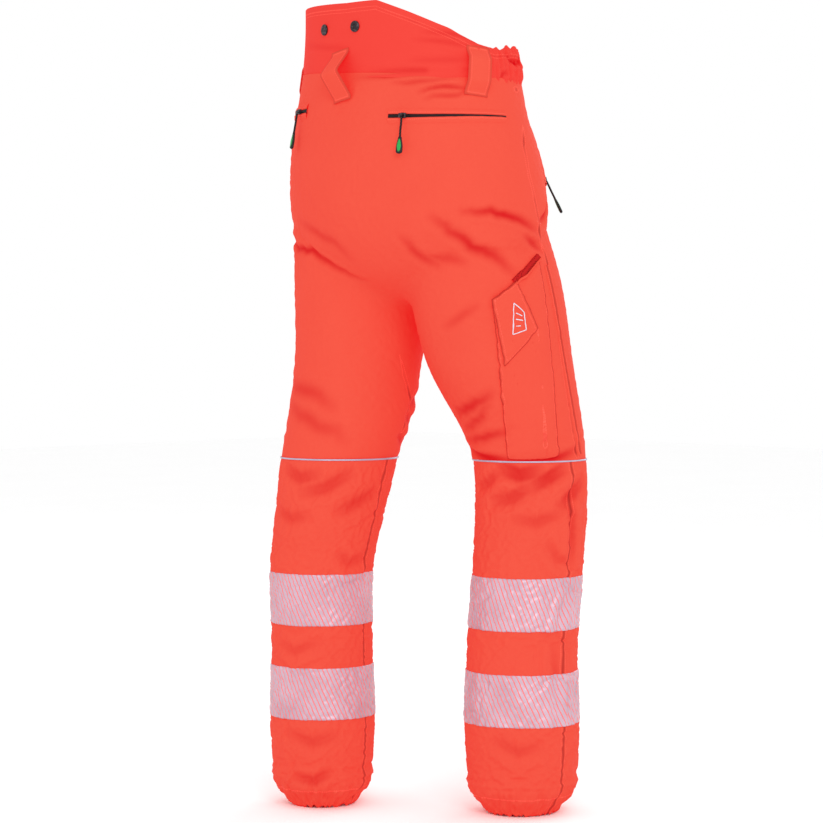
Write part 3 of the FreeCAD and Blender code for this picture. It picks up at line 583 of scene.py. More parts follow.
def drape(cloth, held, growth, limit):
    """Let the cloth buckle and sag where it isn't held, then cap how far each point has moved."""
    rest = points_of(cloth)
    weigh(cloth, "held", held)
    modifier = cloth.modifiers.new("drape", "CLOTH")
    for name, value in DRAPE.items():
        setattr(modifier.settings, name, value)
    modifier.settings.shrink_min = -growth
    modifier.collision_settings.use_collision = False
    modifier.point_cache.frame_end = DRAPE_FRAMES
    scene = bpy.context.scene
    for number in range(1, DRAPE_FRAMES + 1):
        scene.frame_set(number)
    moved = points_of(cloth.evaluated_get(bpy.context.evaluated_depsgraph_get())) - rest
    far = np.linalg.norm(moved, axis=1, keepdims=True) + 1e-9
    cloth.modifiers.clear()
    cloth.vertex_groups.clear()
    scene.frame_set(1)
    set_points(cloth, rest + moved * np.tanh(far / limit) * limit / far)


def surface_tree(made):
    mesh = made.data
    return BVHTree.FromPolygons([v.co for v in mesh.vertices], [p.vertices for p in mesh.polygons])


def hit(tree, start, direction):
    """Where a ray meets the cloth."""
    return np.array(tree.ray_cast(Vector(start), Vector(direction))[0])


def laid_on(tree, points, lift):
    """The nearest places on a surface, lifted off it along its normal."""
    lifts = np.broadcast_to(lift, points.shape[:-1])
    laid = np.empty_like(points)
    for index in np.ndindex(points.shape[:-1]):
        place, normal, _, _ = tree.find_nearest(Vector(points[index]))
        laid[index] = place + normal * float(lifts[index])
    return laid


# ---- the upper garment

def tilt_plane(x):
    """Height of the waist seam, lower on the wearer's right."""
    return WAIST_SEAM + WAIST_TILT * x


def upper_form():
    """Seat, hips and thighs as one smooth surface, open at the waist seam and at both knees."""
    parts = [closed_tube("trunk", TRUNK, 0.745, 1.16)]
    parts += [closed_tube(f"{side}_thigh", LEGS[side], 0.49, 0.88) for side in SIDES]
    upper = unite("trousers_upper", parts)
    modify(upper, "REMESH", mode="VOXEL", voxel_size=0.0055, use_smooth_shade=True)
    modify(upper, "SMOOTH", factor=0.5, iterations=6)
    points = points_of(upper)
    fork = (1 - steps(np.abs(points[:, 0]), 0.03, 0.10)) * (1 - steps(points[:, 2], 0.84, 0.90))
    weigh(upper, "fork", fork)
    modify(upper, "SMOOTH", factor=0.6, iterations=40, vertex_group="fork")
    upper.vertex_groups.clear()
    slice_off(upper, (0, 0, KNEE), (0, 0, -1))
    slice_off(upper, (0, 0, WAIST_SEAM), Vector((-WAIST_TILT, 0, 1)))
    return upper


def upper_garment():
    """The cloth from the waist seam to both knees, with its folds and seams."""
    upper = upper_form()
    points = points_of(upper)
    edge = np.minimum(points[:, 2] - KNEE, tilt_plane(points[:, 0]) - points[:, 2])
    held = 0.35 + 0.65 * (1 - steps(edge, 0.004, 0.03))
    drape(upper, held, 0.035, 0.009)
    modify(upper, "SUBSURF", levels=1, render_levels=1)
    creased(upper, UPPER_CREASES)
    return upper


# Folds of the seat and thighs in millimetres: the places along each, its depth and width.
UPPER_CREASES = [
    ([(-160, 95, 870), (-190, 60, 865), (-205, 25, 855), (-205, -25, 835)], 4, 6.5),
    ([(-125, 120, 865), (-155, 95, 840), (-175, 50, 810), (-195, 10, 770)], 3.2, 9),
    ([(-90, 125, 840), (-105, 100, 810), (-130, 75, 790)], 2.2, 9),
    ([(-205, 15, 835), (-205, -15, 820), (-200, -45, 810)], 2.6, 6),
    ([(-115, 105, 815), (-130, 85, 805), (-155, 60, 795)], 1.8, 9),
    ([(180, 50, 835), (135, 100, 825), (70, 110, 805), (5, 90, 780)], 3.4, 6),
    ([(120, 135, 860), (65, 135, 845), (25, 135, 830), (5, 115, 800)], 1.6, 10),
    ([(160, 85, 620), (100, 105, 605), (65, 95, 580)], 2, 13),
    ([(150, 90, 590), (120, 110, 575), (85, 105, 555), (55, 90, 535)], 1.8, 13),
    ([(-110, 60, 705), (-140, 50, 725), (-160, 45, 745)], 1.4, 8),
    ([(-70, -10, 580), (-110, 0, 600), (-155, 5, 625)], 3, 10),
    ([(-80, -20, 560), (-120, -5, 580), (-145, 0, 610)], 2.2, 9),
    ([(-80, -35, 550), (-135, -25, 560), (-160, -35, 570)], 2.6, 8),
    ([(-75, -50, 540), (-100, -40, 525), (-150, -45, 515)], 5, 7),
    ([(-140, -45, 515), (-180, -75, 515), (-200, -125, 530)], 4.6, 7),
    ([(-10, 130, 1050), (-75, 120, 1050), (-120, 95, 1055), (-160, 65, 1050)], 2.2, 4.6),
    ([(-65, 125, 1040), (-100, 110, 1040), (-145, 80, 1045)], 1.8, 4.2),
    ([(-105, 115, 1025), (-130, 95, 1035), (-160, 65, 1030)], 2.6, 4),
    ([(-110, 110, 1015), (-140, 90, 1020), (-165, 65, 1030)], 1.8, 4),
    ([(-210, -20, 850), (-205, -45, 860), (-200, -60, 885)], 3.4, 6),
    ([(50, -60, 600), (30, -30, 595), (25, 5, 585)], 3, 8),
    ([(50, -40, 560), (35, -10, 565), (25, 10, 575)], 3, 8),
    ([(60, -20, 530), (35, 5, 535), (30, 20, 550)], 2.6, 8),
]


# ---- waistband and high back

def gather(turns, heights):
    """How far gathered cloth stands out: uneven upright folds that wander and branch."""
    wander = 0.012 * np.sin(heights * 95 + turns * 9) + 0.006 * np.sin(heights * 210 - turns * 21)
    folds = np.sin((turns + wander) * 96) + 0.8 * np.sin((turns - 0.7 * wander) * 57 + 1.3)
    crumple = np.sin(heights * 170 + 2.0 * np.sin(turns * 23)) * np.sin(turns * 41 + heights * 60)
    return 0.0017 * folds + 0.0009 * crumple


def waist_strip(start, end, gathered):
    """A stretch of the waistband between two turns in degrees: cloth folded over its top edge."""
    columns = int(abs(end - start) * (4 if gathered else 1.6))
    turns = np.radians(np.linspace(start, end, columns))
    top = np.interp(np.degrees(turns), *np.array(RIM).T)
    calm = np.sin(np.linspace(0, math.pi, columns)) ** 0.5 if gathered else np.zeros(columns)
    top = top + calm * (0.003 * np.sin(turns * 31) + 0.0016 * np.sin(turns * 67))
    low = tilt_plane(0.18 * np.cos(turns)) - 0.006
    shares = np.linspace(0, 1, 30)
    thick = 0.0052
    outer_z = top + (low - top) * shares[:, None]
    grid_turns = np.broadcast_to(turns, outer_z.shape)
    folds = gather(grid_turns, outer_z) * calm if gathered else 0.0
    hug = -0.0022 * steps(shares, 0.8, 1.0)[:, None]
    puff = 0.0035 * np.sin(shares * math.pi)[:, None] * calm
    outer = around(TRUNK, outer_z, grid_turns, 0.0008 + folds + hug + puff)
    inner = around(TRUNK, outer_z[::-1], grid_turns, (-thick + 0.5 * folds)[::-1] if gathered else -thick)
    fold_turn = np.radians(np.linspace(160, 20, 5))[:, None]
    middle = (outer[0] + inner[-1]) / 2
    half_way = (outer[0] - inner[-1]) / 2
    over = middle + half_way * np.cos(fold_turn)[:, :, None]
    over[..., 2] += thick / 2 * np.sin(fold_turn)
    return np.concatenate([inner, over, outer])


WAIST_STRIPS = {
    "high_back_cloth": (6.6, 173.4, False, "high_back"),
    "waistband_front_cloth": (217.5, 322.5, False, "waistband_front"),
    "side_gather_right": (173.4, 217.5, True, "side_gathers"),
    "side_gather_left": (-37.5, 6.6, True, "side_gathers"),
}
# Folds of the high back, in the same way; the last one lies beside the right belt loop and is mostly its
# painted shadow.
HIGH_BACK_CREASES = [
    ([(-115, 130, 1115), (-160, 85, 1110), (-180, 40, 1100)], 1.6, 4.6),
    ([(-105, 140, 1105), (-150, 105, 1100), (-175, 55, 1090)], 1.2, 4.6),
    ([(-100, 140, 1075), (-145, 110, 1075), (-175, 65, 1075)], 0.9, 5.5),
    ([(115, 130, 1110), (40, 160, 1100), (-15, 165, 1095)], 1, 5.5),
    ([(-40, 160, 1060), (-110, 135, 1060), (-175, 65, 1060)], 1.8, 4.6),
    # Painted shadow: a shallow groove beside the right belt loop, whose stored fold depth darkens the
    # cloth where the loop's shadow falls.
    ([(-175, 55, 1095), (-175, 60, 1075), (-175, 65, 1055)], 2.6, 3.4),
]
# Folds of the gathered cloth on the wearer's right; the left ones mirror them.
GATHER_CREASES = [
    ([(-180, 15, 1095), (-180, 5, 1075), (-170, -15, 1075), (-160, -40, 1085)], 4.8, 5),
    ([(-180, 15, 1065), (-180, 25, 1055), (-180, 30, 1045)], 2.2, 4),
    ([(-180, 5, 1055), (-180, 5, 1045), (-180, 10, 1035)], 2, 3.6),
]


def mirrored(creases):
    """The same folds on the wearer's other side."""
    return [([(-x, y, z) for x, y, z in path], depth, width) for path, depth, width in creases]


def waistband():
    """High back, front waistband and the gathered sides with their elastics."""
    creases = {"high_back_cloth": HIGH_BACK_CREASES, "side_gather_right": GATHER_CREASES,
               "side_gather_left": mirrored(GATHER_CREASES)}
    for name, (start, end, gathered, node) in WAIST_STRIPS.items():
        strip = grid_object(name, waist_strip(start, end, gathered), closed=False)
        points = points_of(strip)
        sew(strip, waist_gap(points), points[:, 0] + points[:, 1])
        if name in creases:
            creased(strip, creases[name])
        piece(strip, "stretch", node)
    for side in SIDES:
        elastic(side)


def waist_gap(points):
    """Distance below the top edge of the waistband, so that its hem shows a row of stitches."""
    turns = np.degrees(np.arctan2((points[:, 1] - WAIST.y) / 0.13, points[:, 0] / 0.176))
    turns = np.where(turns < -90, turns + 360, turns)
    return np.abs(np.interp(turns, *np.array(RIM).T) - points[:, 2] - 0.009) + 0.0018


def elastic(side):
    """The woven elastic that gathers one side of the waist, between the two cloths."""
    start, end, _, _ = WAIST_STRIPS[f"side_gather_{side}"]
    turns = np.radians(np.linspace(start + 1, end - 1, 60))
    heights = np.linspace(1.090, 1.068, 12)[:, None] + 0 * turns
    grid = around(TRUNK, heights, np.broadcast_to(turns, heights.shape), -0.0022)
    band = grid_object(f"waist_elastic_{side}", grid, closed=False)
    modify(band, "SOLIDIFY", thickness=0.0012, offset=0)
    piece(band, "elastic", "waist_elastics")


# ---- pieces and layers

def dress(made, look):
    """Give an object its look, and return the look's slot."""
    material, slot = LOOKS[look]
    made.data.materials.clear()
    made.data.materials.append(material)
    return slot


def piece(made, look, *nodes, body="trousers"):
    """A finished piece: it has a look, rides on a body and stands for CAD nodes."""
    slot = dress(made, look)
    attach(made, body)
    if nodes:
        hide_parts(*nodes)


def sew(made, gap=1.0, run=0.0):
    """Store how far each point is from the nearest seam, and how far along it; no seam by default."""
    for name, values in (("seam_gap", gap), ("seam_run", run)):
        store(made, name, np.broadcast_to(np.ravel(values), len(made.data.vertices)))


def inner_layer(name, source, chosen, depth, thickness, look, node):
    """A layer inside a garment surface: the chosen faces moved inwards and given a thickness."""
    points = points_of(source) - normals_of(source) * depth
    faces = [face.vertices[:] for face, wanted in zip(source.data.polygons, chosen) if wanted]
    used, flat = np.unique(np.concatenate(faces), return_inverse=True)
    counts = np.cumsum([len(face) for face in faces])[:-1]
    mesh = bpy.data.meshes.new(name)
    mesh.from_pydata(points[used].tolist(), [], [part.tolist() for part in np.split(flat, counts)])
    layer = link(name, mesh)
    modify(layer, "SOLIDIFY", thickness=thickness, offset=-1)
    piece(layer, look, node)
    return layer


def side_seam_y(points, side):
    """How far forward or back the outer seam runs at each height."""
    path = np.array(SIDE_SEAM[side])[::-1] / 1000
    return WAIST.y + np.interp(points[:, 2], path[:, 2], path[:, 1])


# Seams of the upper garment as points in millimetres from the middle of the waist.
SIDE_SEAM = {
    "right": [(-177, -54, 1052), (-180, -51, 1042), (-192, -39, 1003), (-198, -31, 982),
              (-203, -21, 956), (-209, -22, 919), (-213, -33, 879), (-206, -53, 835),
              (-200, -72, 810), (-199, -104, 655), (-197, -140, 524), (-196, -143, 505)],
    "left": [(188, -4, 1072), (198, -3, 1000), (211, -4, 879), (200, -10, 783),
             (196, 6, 655), (199, 31, 505)],
}
OTHER_SEAMS = [
    [(-1, 105, 1060), (-2, 111, 1019), (9, 115, 993), (10, 122, 942),
     (5, 126, 891), (-2, 118, 848), (-12, 96, 810), (-12, 61, 775),
     (-3, 27, 755), (0, -120, 770)],
    [(0, -80, 755), (0, -150, 830), (0, -160, 900)],
    [(-78, 103, 994), (-81, 100, 1004), (-78, 97, 1029), (-162, 40, 1031),
     (-182, -48, 1039)],
    [(78, 106, 1010), (81, 103, 1020), (78, 100, 1045), (162, 40, 1047),
     (186, -10, 1052)],
    [(18, 26, 736), (20, 26, 718), (18, 13, 677), (18, -3, 635),
     (23, -26, 593), (28, -18, 560), (32, -13, 528), (34, -10, 505)],
    [(18, -140, 700), (34, -83, 655), (24, -51, 622), (23, -26, 593)],
    [(-12, 20, 736), (-14, -20, 690), (-20, -60, 635), (-36, -110, 560),
     (-42, -130, 505)],
    [(190, 24, 836), (134, 75, 823), (69, 82, 804), (41, 77, 792),
     (3, 64, 778)],
]


def seam_fields(points):
    """Distance to the nearest seam of the upper garment and the length run along it."""
    moved = points - np.array(WAIST)
    gap = np.ones(len(points))
    run = np.zeros(len(points))
    for path in [*SIDE_SEAM.values(), *OTHER_SEAMS]:
        away, along, _ = near_path(moved, np.array(path) / 1000)
        nearer = away < gap
        gap[nearer] = away[nearer]
        run[nearer] = along[nearer]
    return gap, run


# ---- lower legs

BANDS = {"upper": (0.346, 0.269), "lower": (0.211, 0.134)}
LEG_COLUMNS = 108


def grid_normals(grid):
    """Outward normals of a closed grid of rings, rows from top to bottom."""
    around_it = np.roll(grid, -1, axis=1) - np.roll(grid, 1, axis=1)
    down = np.gradient(grid, axis=0)
    normal = np.cross(down, around_it)
    return normal / np.linalg.norm(normal, axis=-1, keepdims=True)


def finer(grid):
    """Twice as many rows and columns, through a closed grid of rings."""
    before, after, far = (np.roll(grid, shift, axis=1) for shift in (1, -1, -2))
    mixed = (9 * (grid + after) - before - far) / 16
    wide = np.stack([grid, mixed], axis=2).reshape(grid.shape[0], -1, 3)
    padded = np.concatenate([2 * wide[:1] - wide[1:2], wide, 2 * wide[-1:] - wide[-2:-1]])
    between = (9 * (wide[:-1] + wide[1:]) - padded[:-3] - padded[3:]) / 16
    tall = np.empty((2 * len(wide) - 1, wide.shape[1], 3))
    tall[::2] = wide
    tall[1::2] = between
    return tall


def hem_folds(grid, side):
    """Gather the cuff into uneven folds that deepen towards its elastic hem, with a scalloped edge."""
    turn = np.linspace(0, math.tau, grid.shape[1], endpoint=False)[None, :]
    height = grid[:, :, 2]
    phase = 0.7 if side == "left" else 2.1
    uneven = 0.16 * np.sin(turn * 5 + phase) + 0.10 * np.sin(turn * 9 + 2 * phase + height * 90)
    folds = 0.5 + 0.5 * np.sin((turn + uneven) * 23 + phase)
    minor = np.sin((turn - uneven) * 37 + 1.9 * phase)
    depth = 1 - steps(height, 0.012, 0.062)
    swell = 0.0035 * np.exp(-(((height - 0.036) / 0.014) ** 2))
    lift = swell - depth * (0.0062 * folds + 0.0016 * minor)
    moved = grid + grid_normals(grid) * lift[:, :, None] * np.array([1, 1, 0.3])
    moved[:, :, 2] += depth * 0.0058 * (1 - folds) * (1 - steps(height, 0.0, 0.03))
    moved[:, :, 2] -= moved[-1, :, 2].min() * (1 - steps(height, 0.0, 0.05))
    return moved


# Folds pressed into each lower leg: turn in degrees and height along the fold, depth and width.
LEG_CREASES = {
    "right": [
        ([(96, 0.506), (122, 0.492), (150, 0.500)], 0.0060, 0.011),
        ([(128, 0.470), (150, 0.486), (176, 0.505)], 0.0055, 0.010),
        ([(84, 0.452), (112, 0.458), (140, 0.482)], 0.0042, 0.012),
        ([(160, 0.440), (180, 0.462), (206, 0.486)], 0.0048, 0.012),
        ([(110, 0.430), (140, 0.425), (172, 0.440)], 0.0030, 0.012),
        ([(176, 0.470), (184, 0.410), (186, 0.355)], 0.0038, 0.009),
        ([(60, 0.470), (84, 0.480), (104, 0.500)], 0.0035, 0.010),
        ([(168, 0.255), (172, 0.200), (170, 0.125)], 0.0026, 0.009),
        ([(100, 0.120), (130, 0.098), (158, 0.110)], 0.0024, 0.012),
        ([(184, 0.330), (176, 0.300), (170, 0.262)], 0.0026, 0.008),
        ([(150, 0.400), (166, 0.372), (190, 0.365)], 0.0024, 0.010),
    ],
    "left": [
        ([(70, 0.500), (98, 0.484), (126, 0.492)], 0.0040, 0.012),
        ([(96, 0.462), (128, 0.470), (158, 0.498)], 0.0040, 0.012),
        ([(60, 0.440), (92, 0.425), (120, 0.432)], 0.0028, 0.013),
        ([(140, 0.430), (162, 0.446), (190, 0.470)], 0.0036, 0.012),
        ([(78, 0.245), (104, 0.232), (140, 0.250)], 0.0022, 0.010),
        ([(90, 0.118), (126, 0.100), (160, 0.112)], 0.0026, 0.012),
        ([(150, 0.380), (170, 0.360), (196, 0.372)], 0.0026, 0.010),
        ([(150, 0.060), (128, 0.044), (100, 0.050)], 0.0036, 0.009),
    ],
}


def on_leg(side, spots):
    """Points on a leg's form at turns in degrees and heights."""
    turns = np.radians(np.array([spot[0] for spot in spots], float))
    heights = np.array([spot[1] for spot in spots], float)
    return around(LEGS[side], heights, turns)


def lower_leg(side):
    """One leg below the knee: draped cloth with its folds and gathered hem; returns its fine grid."""
    heights = np.linspace(KNEE, 0, 121)
    grid = rings(LEGS[side], heights, LEG_COLUMNS)
    coarse = grid_object(f"coarse_{side}", grid)
    points, normals = points_of(coarse), normals_of(coarse)
    for spots, depth, width in LEG_CREASES[side]:
        points = crease(points, normals, on_leg(side, spots), depth, width)
    top = steps(KNEE - points[:, 2], 0.001, 0.012)[:, None]
    set_points(coarse, grid.reshape(-1, 3) * (1 - top) + points * top)
    height = points[:, 2]
    held = 0.3 + 0.7 * np.maximum(steps(height, KNEE - 0.02, KNEE - 0.004), 1 - steps(height, 0.02, 0.05))
    drape(coarse, held, 0.045, 0.006)
    grid = hem_folds(points_of(coarse).reshape(grid.shape), side)
    bpy.data.objects.remove(coarse)
    grid[:, :, 2] = np.maximum(grid[:, :, 2], 0.0)
    grid[0, :, 2] = KNEE
    fine = finer(grid)
    fine[:, :, 2] = np.clip(fine[:, :, 2], 0.0, KNEE)
    leg = grid_object(f"lower_leg_cloth_{side}", fine)
    level = np.repeat(np.linspace(KNEE, 0, fine.shape[0]), fine.shape[1])
    turn = np.tile(np.linspace(0, math.tau, fine.shape[1], endpoint=False), fine.shape[0])
    seams = [0.0 if side == "left" else math.pi, math.radians(193 if side == "left" else 330)]
    gap = np.min([np.abs((turn - seam + math.pi) % math.tau - math.pi) for seam in seams], axis=0) * 0.078
    hem_gap = np.abs(level - 0.028) + 0.0035
    sew(leg, np.minimum(gap, hem_gap), np.where(gap < 0.01, level, turn * 0.07))
    store(leg, "fold", leg_fold(points_of(leg), side))
    modify(leg, "SOLIDIFY", thickness=CLOTH_THICKNESS, offset=-1)
    nodes = ("knee_bend", "shin_front", "shin_back", "hem_cuff")
    cross_knee(leg, side, *[f"{node}_{side}" for node in nodes])
    return fine


def leg_fold(points, side):
    """How deep inside a fold or a gather of the hem each point of a lower leg lies, which the cloth's
    material darkens as painted shade.
    """
    fold = np.zeros(len(points))
    for spots, depth, width in LEG_CREASES[side]:
        gap, run, length = near_path(points, on_leg(side, spots))
        fade = np.sin(np.clip(run / length, 0, 1) * math.pi)
        near = np.exp(-((np.maximum(gap - depth, 0) / width * 2.0) ** 2))
        fold = np.maximum(fold, fade * near * min(1, depth / 0.0080))
    return fold


def cross_knee(made, side, *nodes):
    """Give a lower leg's cloth its look, fixed in world space, and hide the CAD nodes it stands for."""
    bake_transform(made)
    dress(made, "cloth")
    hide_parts(*nodes)


def leg_band(name, grid, high, low, lift, thickness=0.0008):
    """A band of the leg's own rings between two heights, lifted off the cloth."""
    levels = np.linspace(KNEE, 0, len(grid))
    inside = np.flatnonzero((levels <= high + 1e-6) & (levels >= low - 1e-6))
    normals = grid_normals(grid)
    ring = grid[inside] + normals[inside] * lift
    closing = grid[inside[[0, -1]]] + normals[inside[[0, -1]]] * (lift - thickness)
    rows = np.concatenate([closing[:1], ring, closing[1:]])
    turn = np.linspace(0, math.tau, grid.shape[1] + 1)
    drops = np.concatenate([[0], high - levels[inside], [high - low]])
    return grid_object(name, rows, spread=np.stack(np.meshgrid(turn * 0.077, -drops), axis=-1))


def leg_trim(side, grid):
    """Reflective bands, knee piping, pad, lining and hem elastic of one lower leg."""
    body = f"lower_leg_{side}"
    for level, (high, low) in BANDS.items():
        band = leg_band(f"{level}_reflective_band_{side}", grid, high, low, 0.0010)
        piece(band, "tape", f"reflective_bands_{side}", body=body)
    piping = leg_band(f"knee_piping_{side}", grid, KNEE, KNEE - 0.0035, 0.0017, 0.0022)
    piece(piping, "piping", "knee_piping")
    lining = leg_band(f"lower_lining_mesh_{side}", grid, BEND_END, CUFF, -0.0086, 0.0006)
    piece(lining, "lining", f"lower_lining_{side}", body=body)
    hem = leg_band(f"hem_elastic_band_{side}", grid, 0.033, 0.008, -0.0030)
    piece(hem, "elastic", f"hem_elastic_{side}", body=body)
    shin_pad(side, grid)


def shin_pad(side, grid):
    """The cut-protection pad in front of one shin."""
    levels = np.linspace(KNEE, 0, len(grid))
    rows = np.flatnonzero((levels < BEND_END - 0.008) & (levels > 0.06))
    columns = np.arange(int(grid.shape[1] * 0.51), int(grid.shape[1] * 0.99))
    normals = grid_normals(grid)
    region = np.ix_(rows, columns)
    pad = grid_object(f"shin_padding_{side}", grid[region] - normals[region] * 0.0024, closed=False)
    modify(pad, "SOLIDIFY", thickness=0.005, offset=-1)
    piece(pad, "padding", f"shin_pad_{side}", body=f"lower_leg_{side}")


# ---- trim laid on the cloth

def ribbon(name, tree, path, profile):
    """A strip along a path on the cloth; its profile lists sideways places and lifts, edge to edge."""
    path = np.array(path, float)
    along = np.gradient(path, axis=0)
    along /= np.linalg.norm(along, axis=1, keepdims=True)
    rows = []
    for place, direction in zip(path, along):
        _, normal, _, _ = tree.find_nearest(Vector(place))
        across = Vector(direction).cross(normal).normalized()
        rows.append([np.array(place) + np.array(across) * side for side, _ in profile])
    lifts = np.array([lift for _, lift in profile])
    grid = laid_on(tree, np.array(rows), lifts)
    spread = np.stack(np.meshgrid([side for side, _ in profile], path_runs(path)), axis=-1)[..., ::-1]
    return grid_object(name, grid, closed=False, spread=spread), spread


def fine_path(points, step=0.003):
    """A path through points, divided evenly."""
    points = np.array(points, float)
    lengths = path_runs(points)
    at = np.linspace(0, lengths[-1], max(8, int(lengths[-1] / step)))
    return np.stack([np.interp(at, lengths, points[:, axis]) for axis in range(3)], axis=1)


def rear_zip_path(side):
    """The curve of a rear pocket zip, from its inner end to the side seam."""
    radius, height = {"right": (0.144, 0.997), "left": (0.1403, 1.013)}[side]
    turns = np.radians(np.linspace(103, 172.5, 60))
    x = SIDES[side] * (0.0518 - radius * np.cos(turns))
    y = WAIST.y - 0.0134 + radius * np.sin(turns)
    return np.stack([x, y, np.full_like(x, height)], axis=1)


def zip_tape(pocket, side, tree, path, half_width, crown):
    """The black tape of a closed pocket zip with its raised teeth."""
    half = [(0.003, 0.0012), (half_width, 0.0004)]
    profile = [*[(-place, lift) for place, lift in half[::-1]], (0, crown), *half]
    tape, _ = ribbon(f"{pocket}_zip_tape_{side}", tree, path, profile)
    piece(tape, "zip", f"{pocket}_zip_{side}")


def rear_zip(side, tree):
    """A rear pocket's black zip, and two lips of cloth that close over it towards the side seam."""
    path = rear_zip_path(side)
    zip_tape("rear", side, tree, path, 0.0036, 0.0018)
    width = 0.0085
    shares = np.array([0, 0.04, 0.12, 0.3, 0.7, 1.0])
    lifts = np.array([0.0004, 0.0020, 0.0025, 0.0022, 0.0016, 0.0002])
    for name, sign, end in (("upper", 1, 0.0002), ("lower", -1, 0.0010)):
        opening = np.linspace(0.0026, end, len(path))
        sideways = sign * (opening[:, None] + shares * width)
        rows = laid_on(tree, path[:, None, :] + sideways[:, :, None] * np.array([0, 0, 1.0]), lifts)
        gaps = np.tile(shares * width + 0.0012, (len(path), 1))
        if sign * SIDES[side] < 0:
            rows, gaps = rows[:, ::-1], gaps[:, ::-1]
        lip = grid_object(f"rear_zip_{name}_lip_{side}", rows, closed=False)
        sew(lip, gaps, np.repeat(np.arange(len(path)) * 0.003, len(shares)))
        piece(lip, "cloth")


def hand_zip(side, tree):
    """A slanted hand pocket zip between two lips of cloth."""
    sign = SIDES[side]
    low = WAIST + Vector((sign * 0.1733, -0.0937, 0.905))
    high = WAIST + Vector((sign * 0.129, -0.0972, 1.030))
    path = fine_path([low, high])
    zip_tape("hand", side, tree, path, 0.0034, 0.0017)
    section = [(0.0018, 0.0004), (0.0022, 0.0021), (0.0036, 0.0025), (0.0065, 0.0018), (0.0095, 0.0002)]
    for name, edge in (("front", -1), ("rear", 1)):
        profile = [(edge * place, lift) for place, lift in section]
        lip, spread = ribbon(f"hand_zip_{name}_lip_{side}", tree, path, profile)
        sew(lip, np.abs(spread[..., 1]) * 0.8, spread[..., 0])
        piece(lip, "cloth")


def between(corners, across, down):
    """A place inside a four-cornered panel, by its shares of the way across and down."""
    upper_edge = (1 - across) * corners[0] + across * corners[1]
    lower_edge = (1 - across) * corners[3] + across * corners[2]
    return (1 - down) * upper_edge + down * lower_edge


def patch(name, tree, corners, lifts, thickness=CLOTH_THICKNESS):
    """A sewn-on panel between four corners, laid on the cloth and lifted in its middle."""
    corners = np.array(corners, float)
    across = np.linspace(0, 1, 40)[None, :]
    down = np.linspace(0, 1, 60)[:, None]
    flat = between(corners, across[..., None], down[..., None])
    wide = np.linalg.norm(corners[1] - corners[0])
    tall = np.linalg.norm(corners[3] - corners[0])
    sides = np.minimum(across, 1 - across) * wide
    ends = np.minimum(down, 1 - down) * tall
    border = np.minimum(sides, ends)
    edge_lift, middle_lift = lifts
    grid = laid_on(tree, flat, edge_lift + (middle_lift - edge_lift) * steps(border, 0.0, 0.018))
    made = grid_object(name, grid, closed=False)
    sew(made, border + 0.0008, np.where(sides < ends, down * tall, across * wide))
    modify(made, "SOLIDIFY", thickness=thickness, offset=-1)
    return made


def thigh_spots(tree, *places):
    """Places on the right thigh's outer side, from pairs of y from the waist's middle and height."""
    return [hit(tree, (-0.4, WAIST.y + y, z), (1, 0, 0)) for y, z in places]


POUCH = [(0.022, 0.742), (-0.050, 0.803), (-0.104, 0.520), (-0.049, 0.516)]
FLAP = [(0.022, 0.742), (-0.007, 0.768), (-0.045, 0.703), (-0.007, 0.649)]
BADGE = [(-0.004, 0.738), (-0.0195, 0.725), (-0.0255, 0.700), (-0.0085, 0.694)]


def cargo_pocket(tree):
    """The thigh pocket with its slanted mouth, a dark strip of painted shade in the mouth, its flap, and
    a plain badge of bars on the flap.
    """
    pouch = patch("cargo_pouch", tree, thigh_spots(tree, *POUCH), (0.0022, 0.0044))
    pleat = thigh_spots(tree, (-0.045, 0.703), (-0.062, 0.620), (-0.081, 0.532))
    away, _, _ = near_path(points_of(pouch), pleat)
    gaps = np.empty(len(away), np.float32)
    pouch.data.attributes["seam_gap"].data.foreach_get("value", gaps)
    store(pouch, "seam_gap", np.minimum(gaps, away))
    piece(pouch, "cloth", "cargo_pocket")
    mouth = fine_path(thigh_spots(tree, (-0.004, 0.7665), (-0.050, 0.8035)))
    # Painted shade: a strip of dark lining stands up inside the mouth where its shade falls.
    section = [(-0.0040, 0.0004), (-0.0034, 0.0034), (0.0030, 0.0050), (0.0036, 0.0010)]
    mouth_shade, _ = ribbon("cargo_pocket_mouth_shade", tree, mouth, section)
    piece(mouth_shade, "lining")
    section = [(0.0024, 0.0020), (0.0026, 0.0060), (0.0036, 0.0072), (0.0048, 0.0068), (0.0058, 0.0046)]
    rolled, _ = ribbon("cargo_pocket_binding", tree, mouth, section)
    sew(rolled)
    piece(rolled, "cloth")
    flap = patch("cargo_flap_cloth", tree, thigh_spots(tree, *FLAP), (0.0060, 0.0070), 0.0020)
    piece(flap, "cloth", "cargo_flap", body="flap")
    badge(tree)


def badge(tree):
    """A plain printed panel of a border and three bars, with no lettering."""
    corners = thigh_spots(tree, *BADGE)
    border = [((0, 0), (1, 0)), ((1, 0), (1, 1)), ((1, 1), (0, 1)), ((0, 1), (0, 0))]
    bars = [((0.22, 0.27), (0.78, 0.27)), ((0.22, 0.50), (0.78, 0.50)), ((0.22, 0.73), (0.60, 0.73))]
    for number, stroke in enumerate(border + bars):
        ends = [between(corners, across, down) for across, down in stroke]
        bar, _ = ribbon(f"badge_stroke_{number}", tree, fine_path(ends, 0.002),
                        [(-0.0007, 0.0078), (0.0007, 0.0078)])
        modify(bar, "SOLIDIFY", thickness=0.0003, offset=0)
        piece(bar, "badge", body="flap")


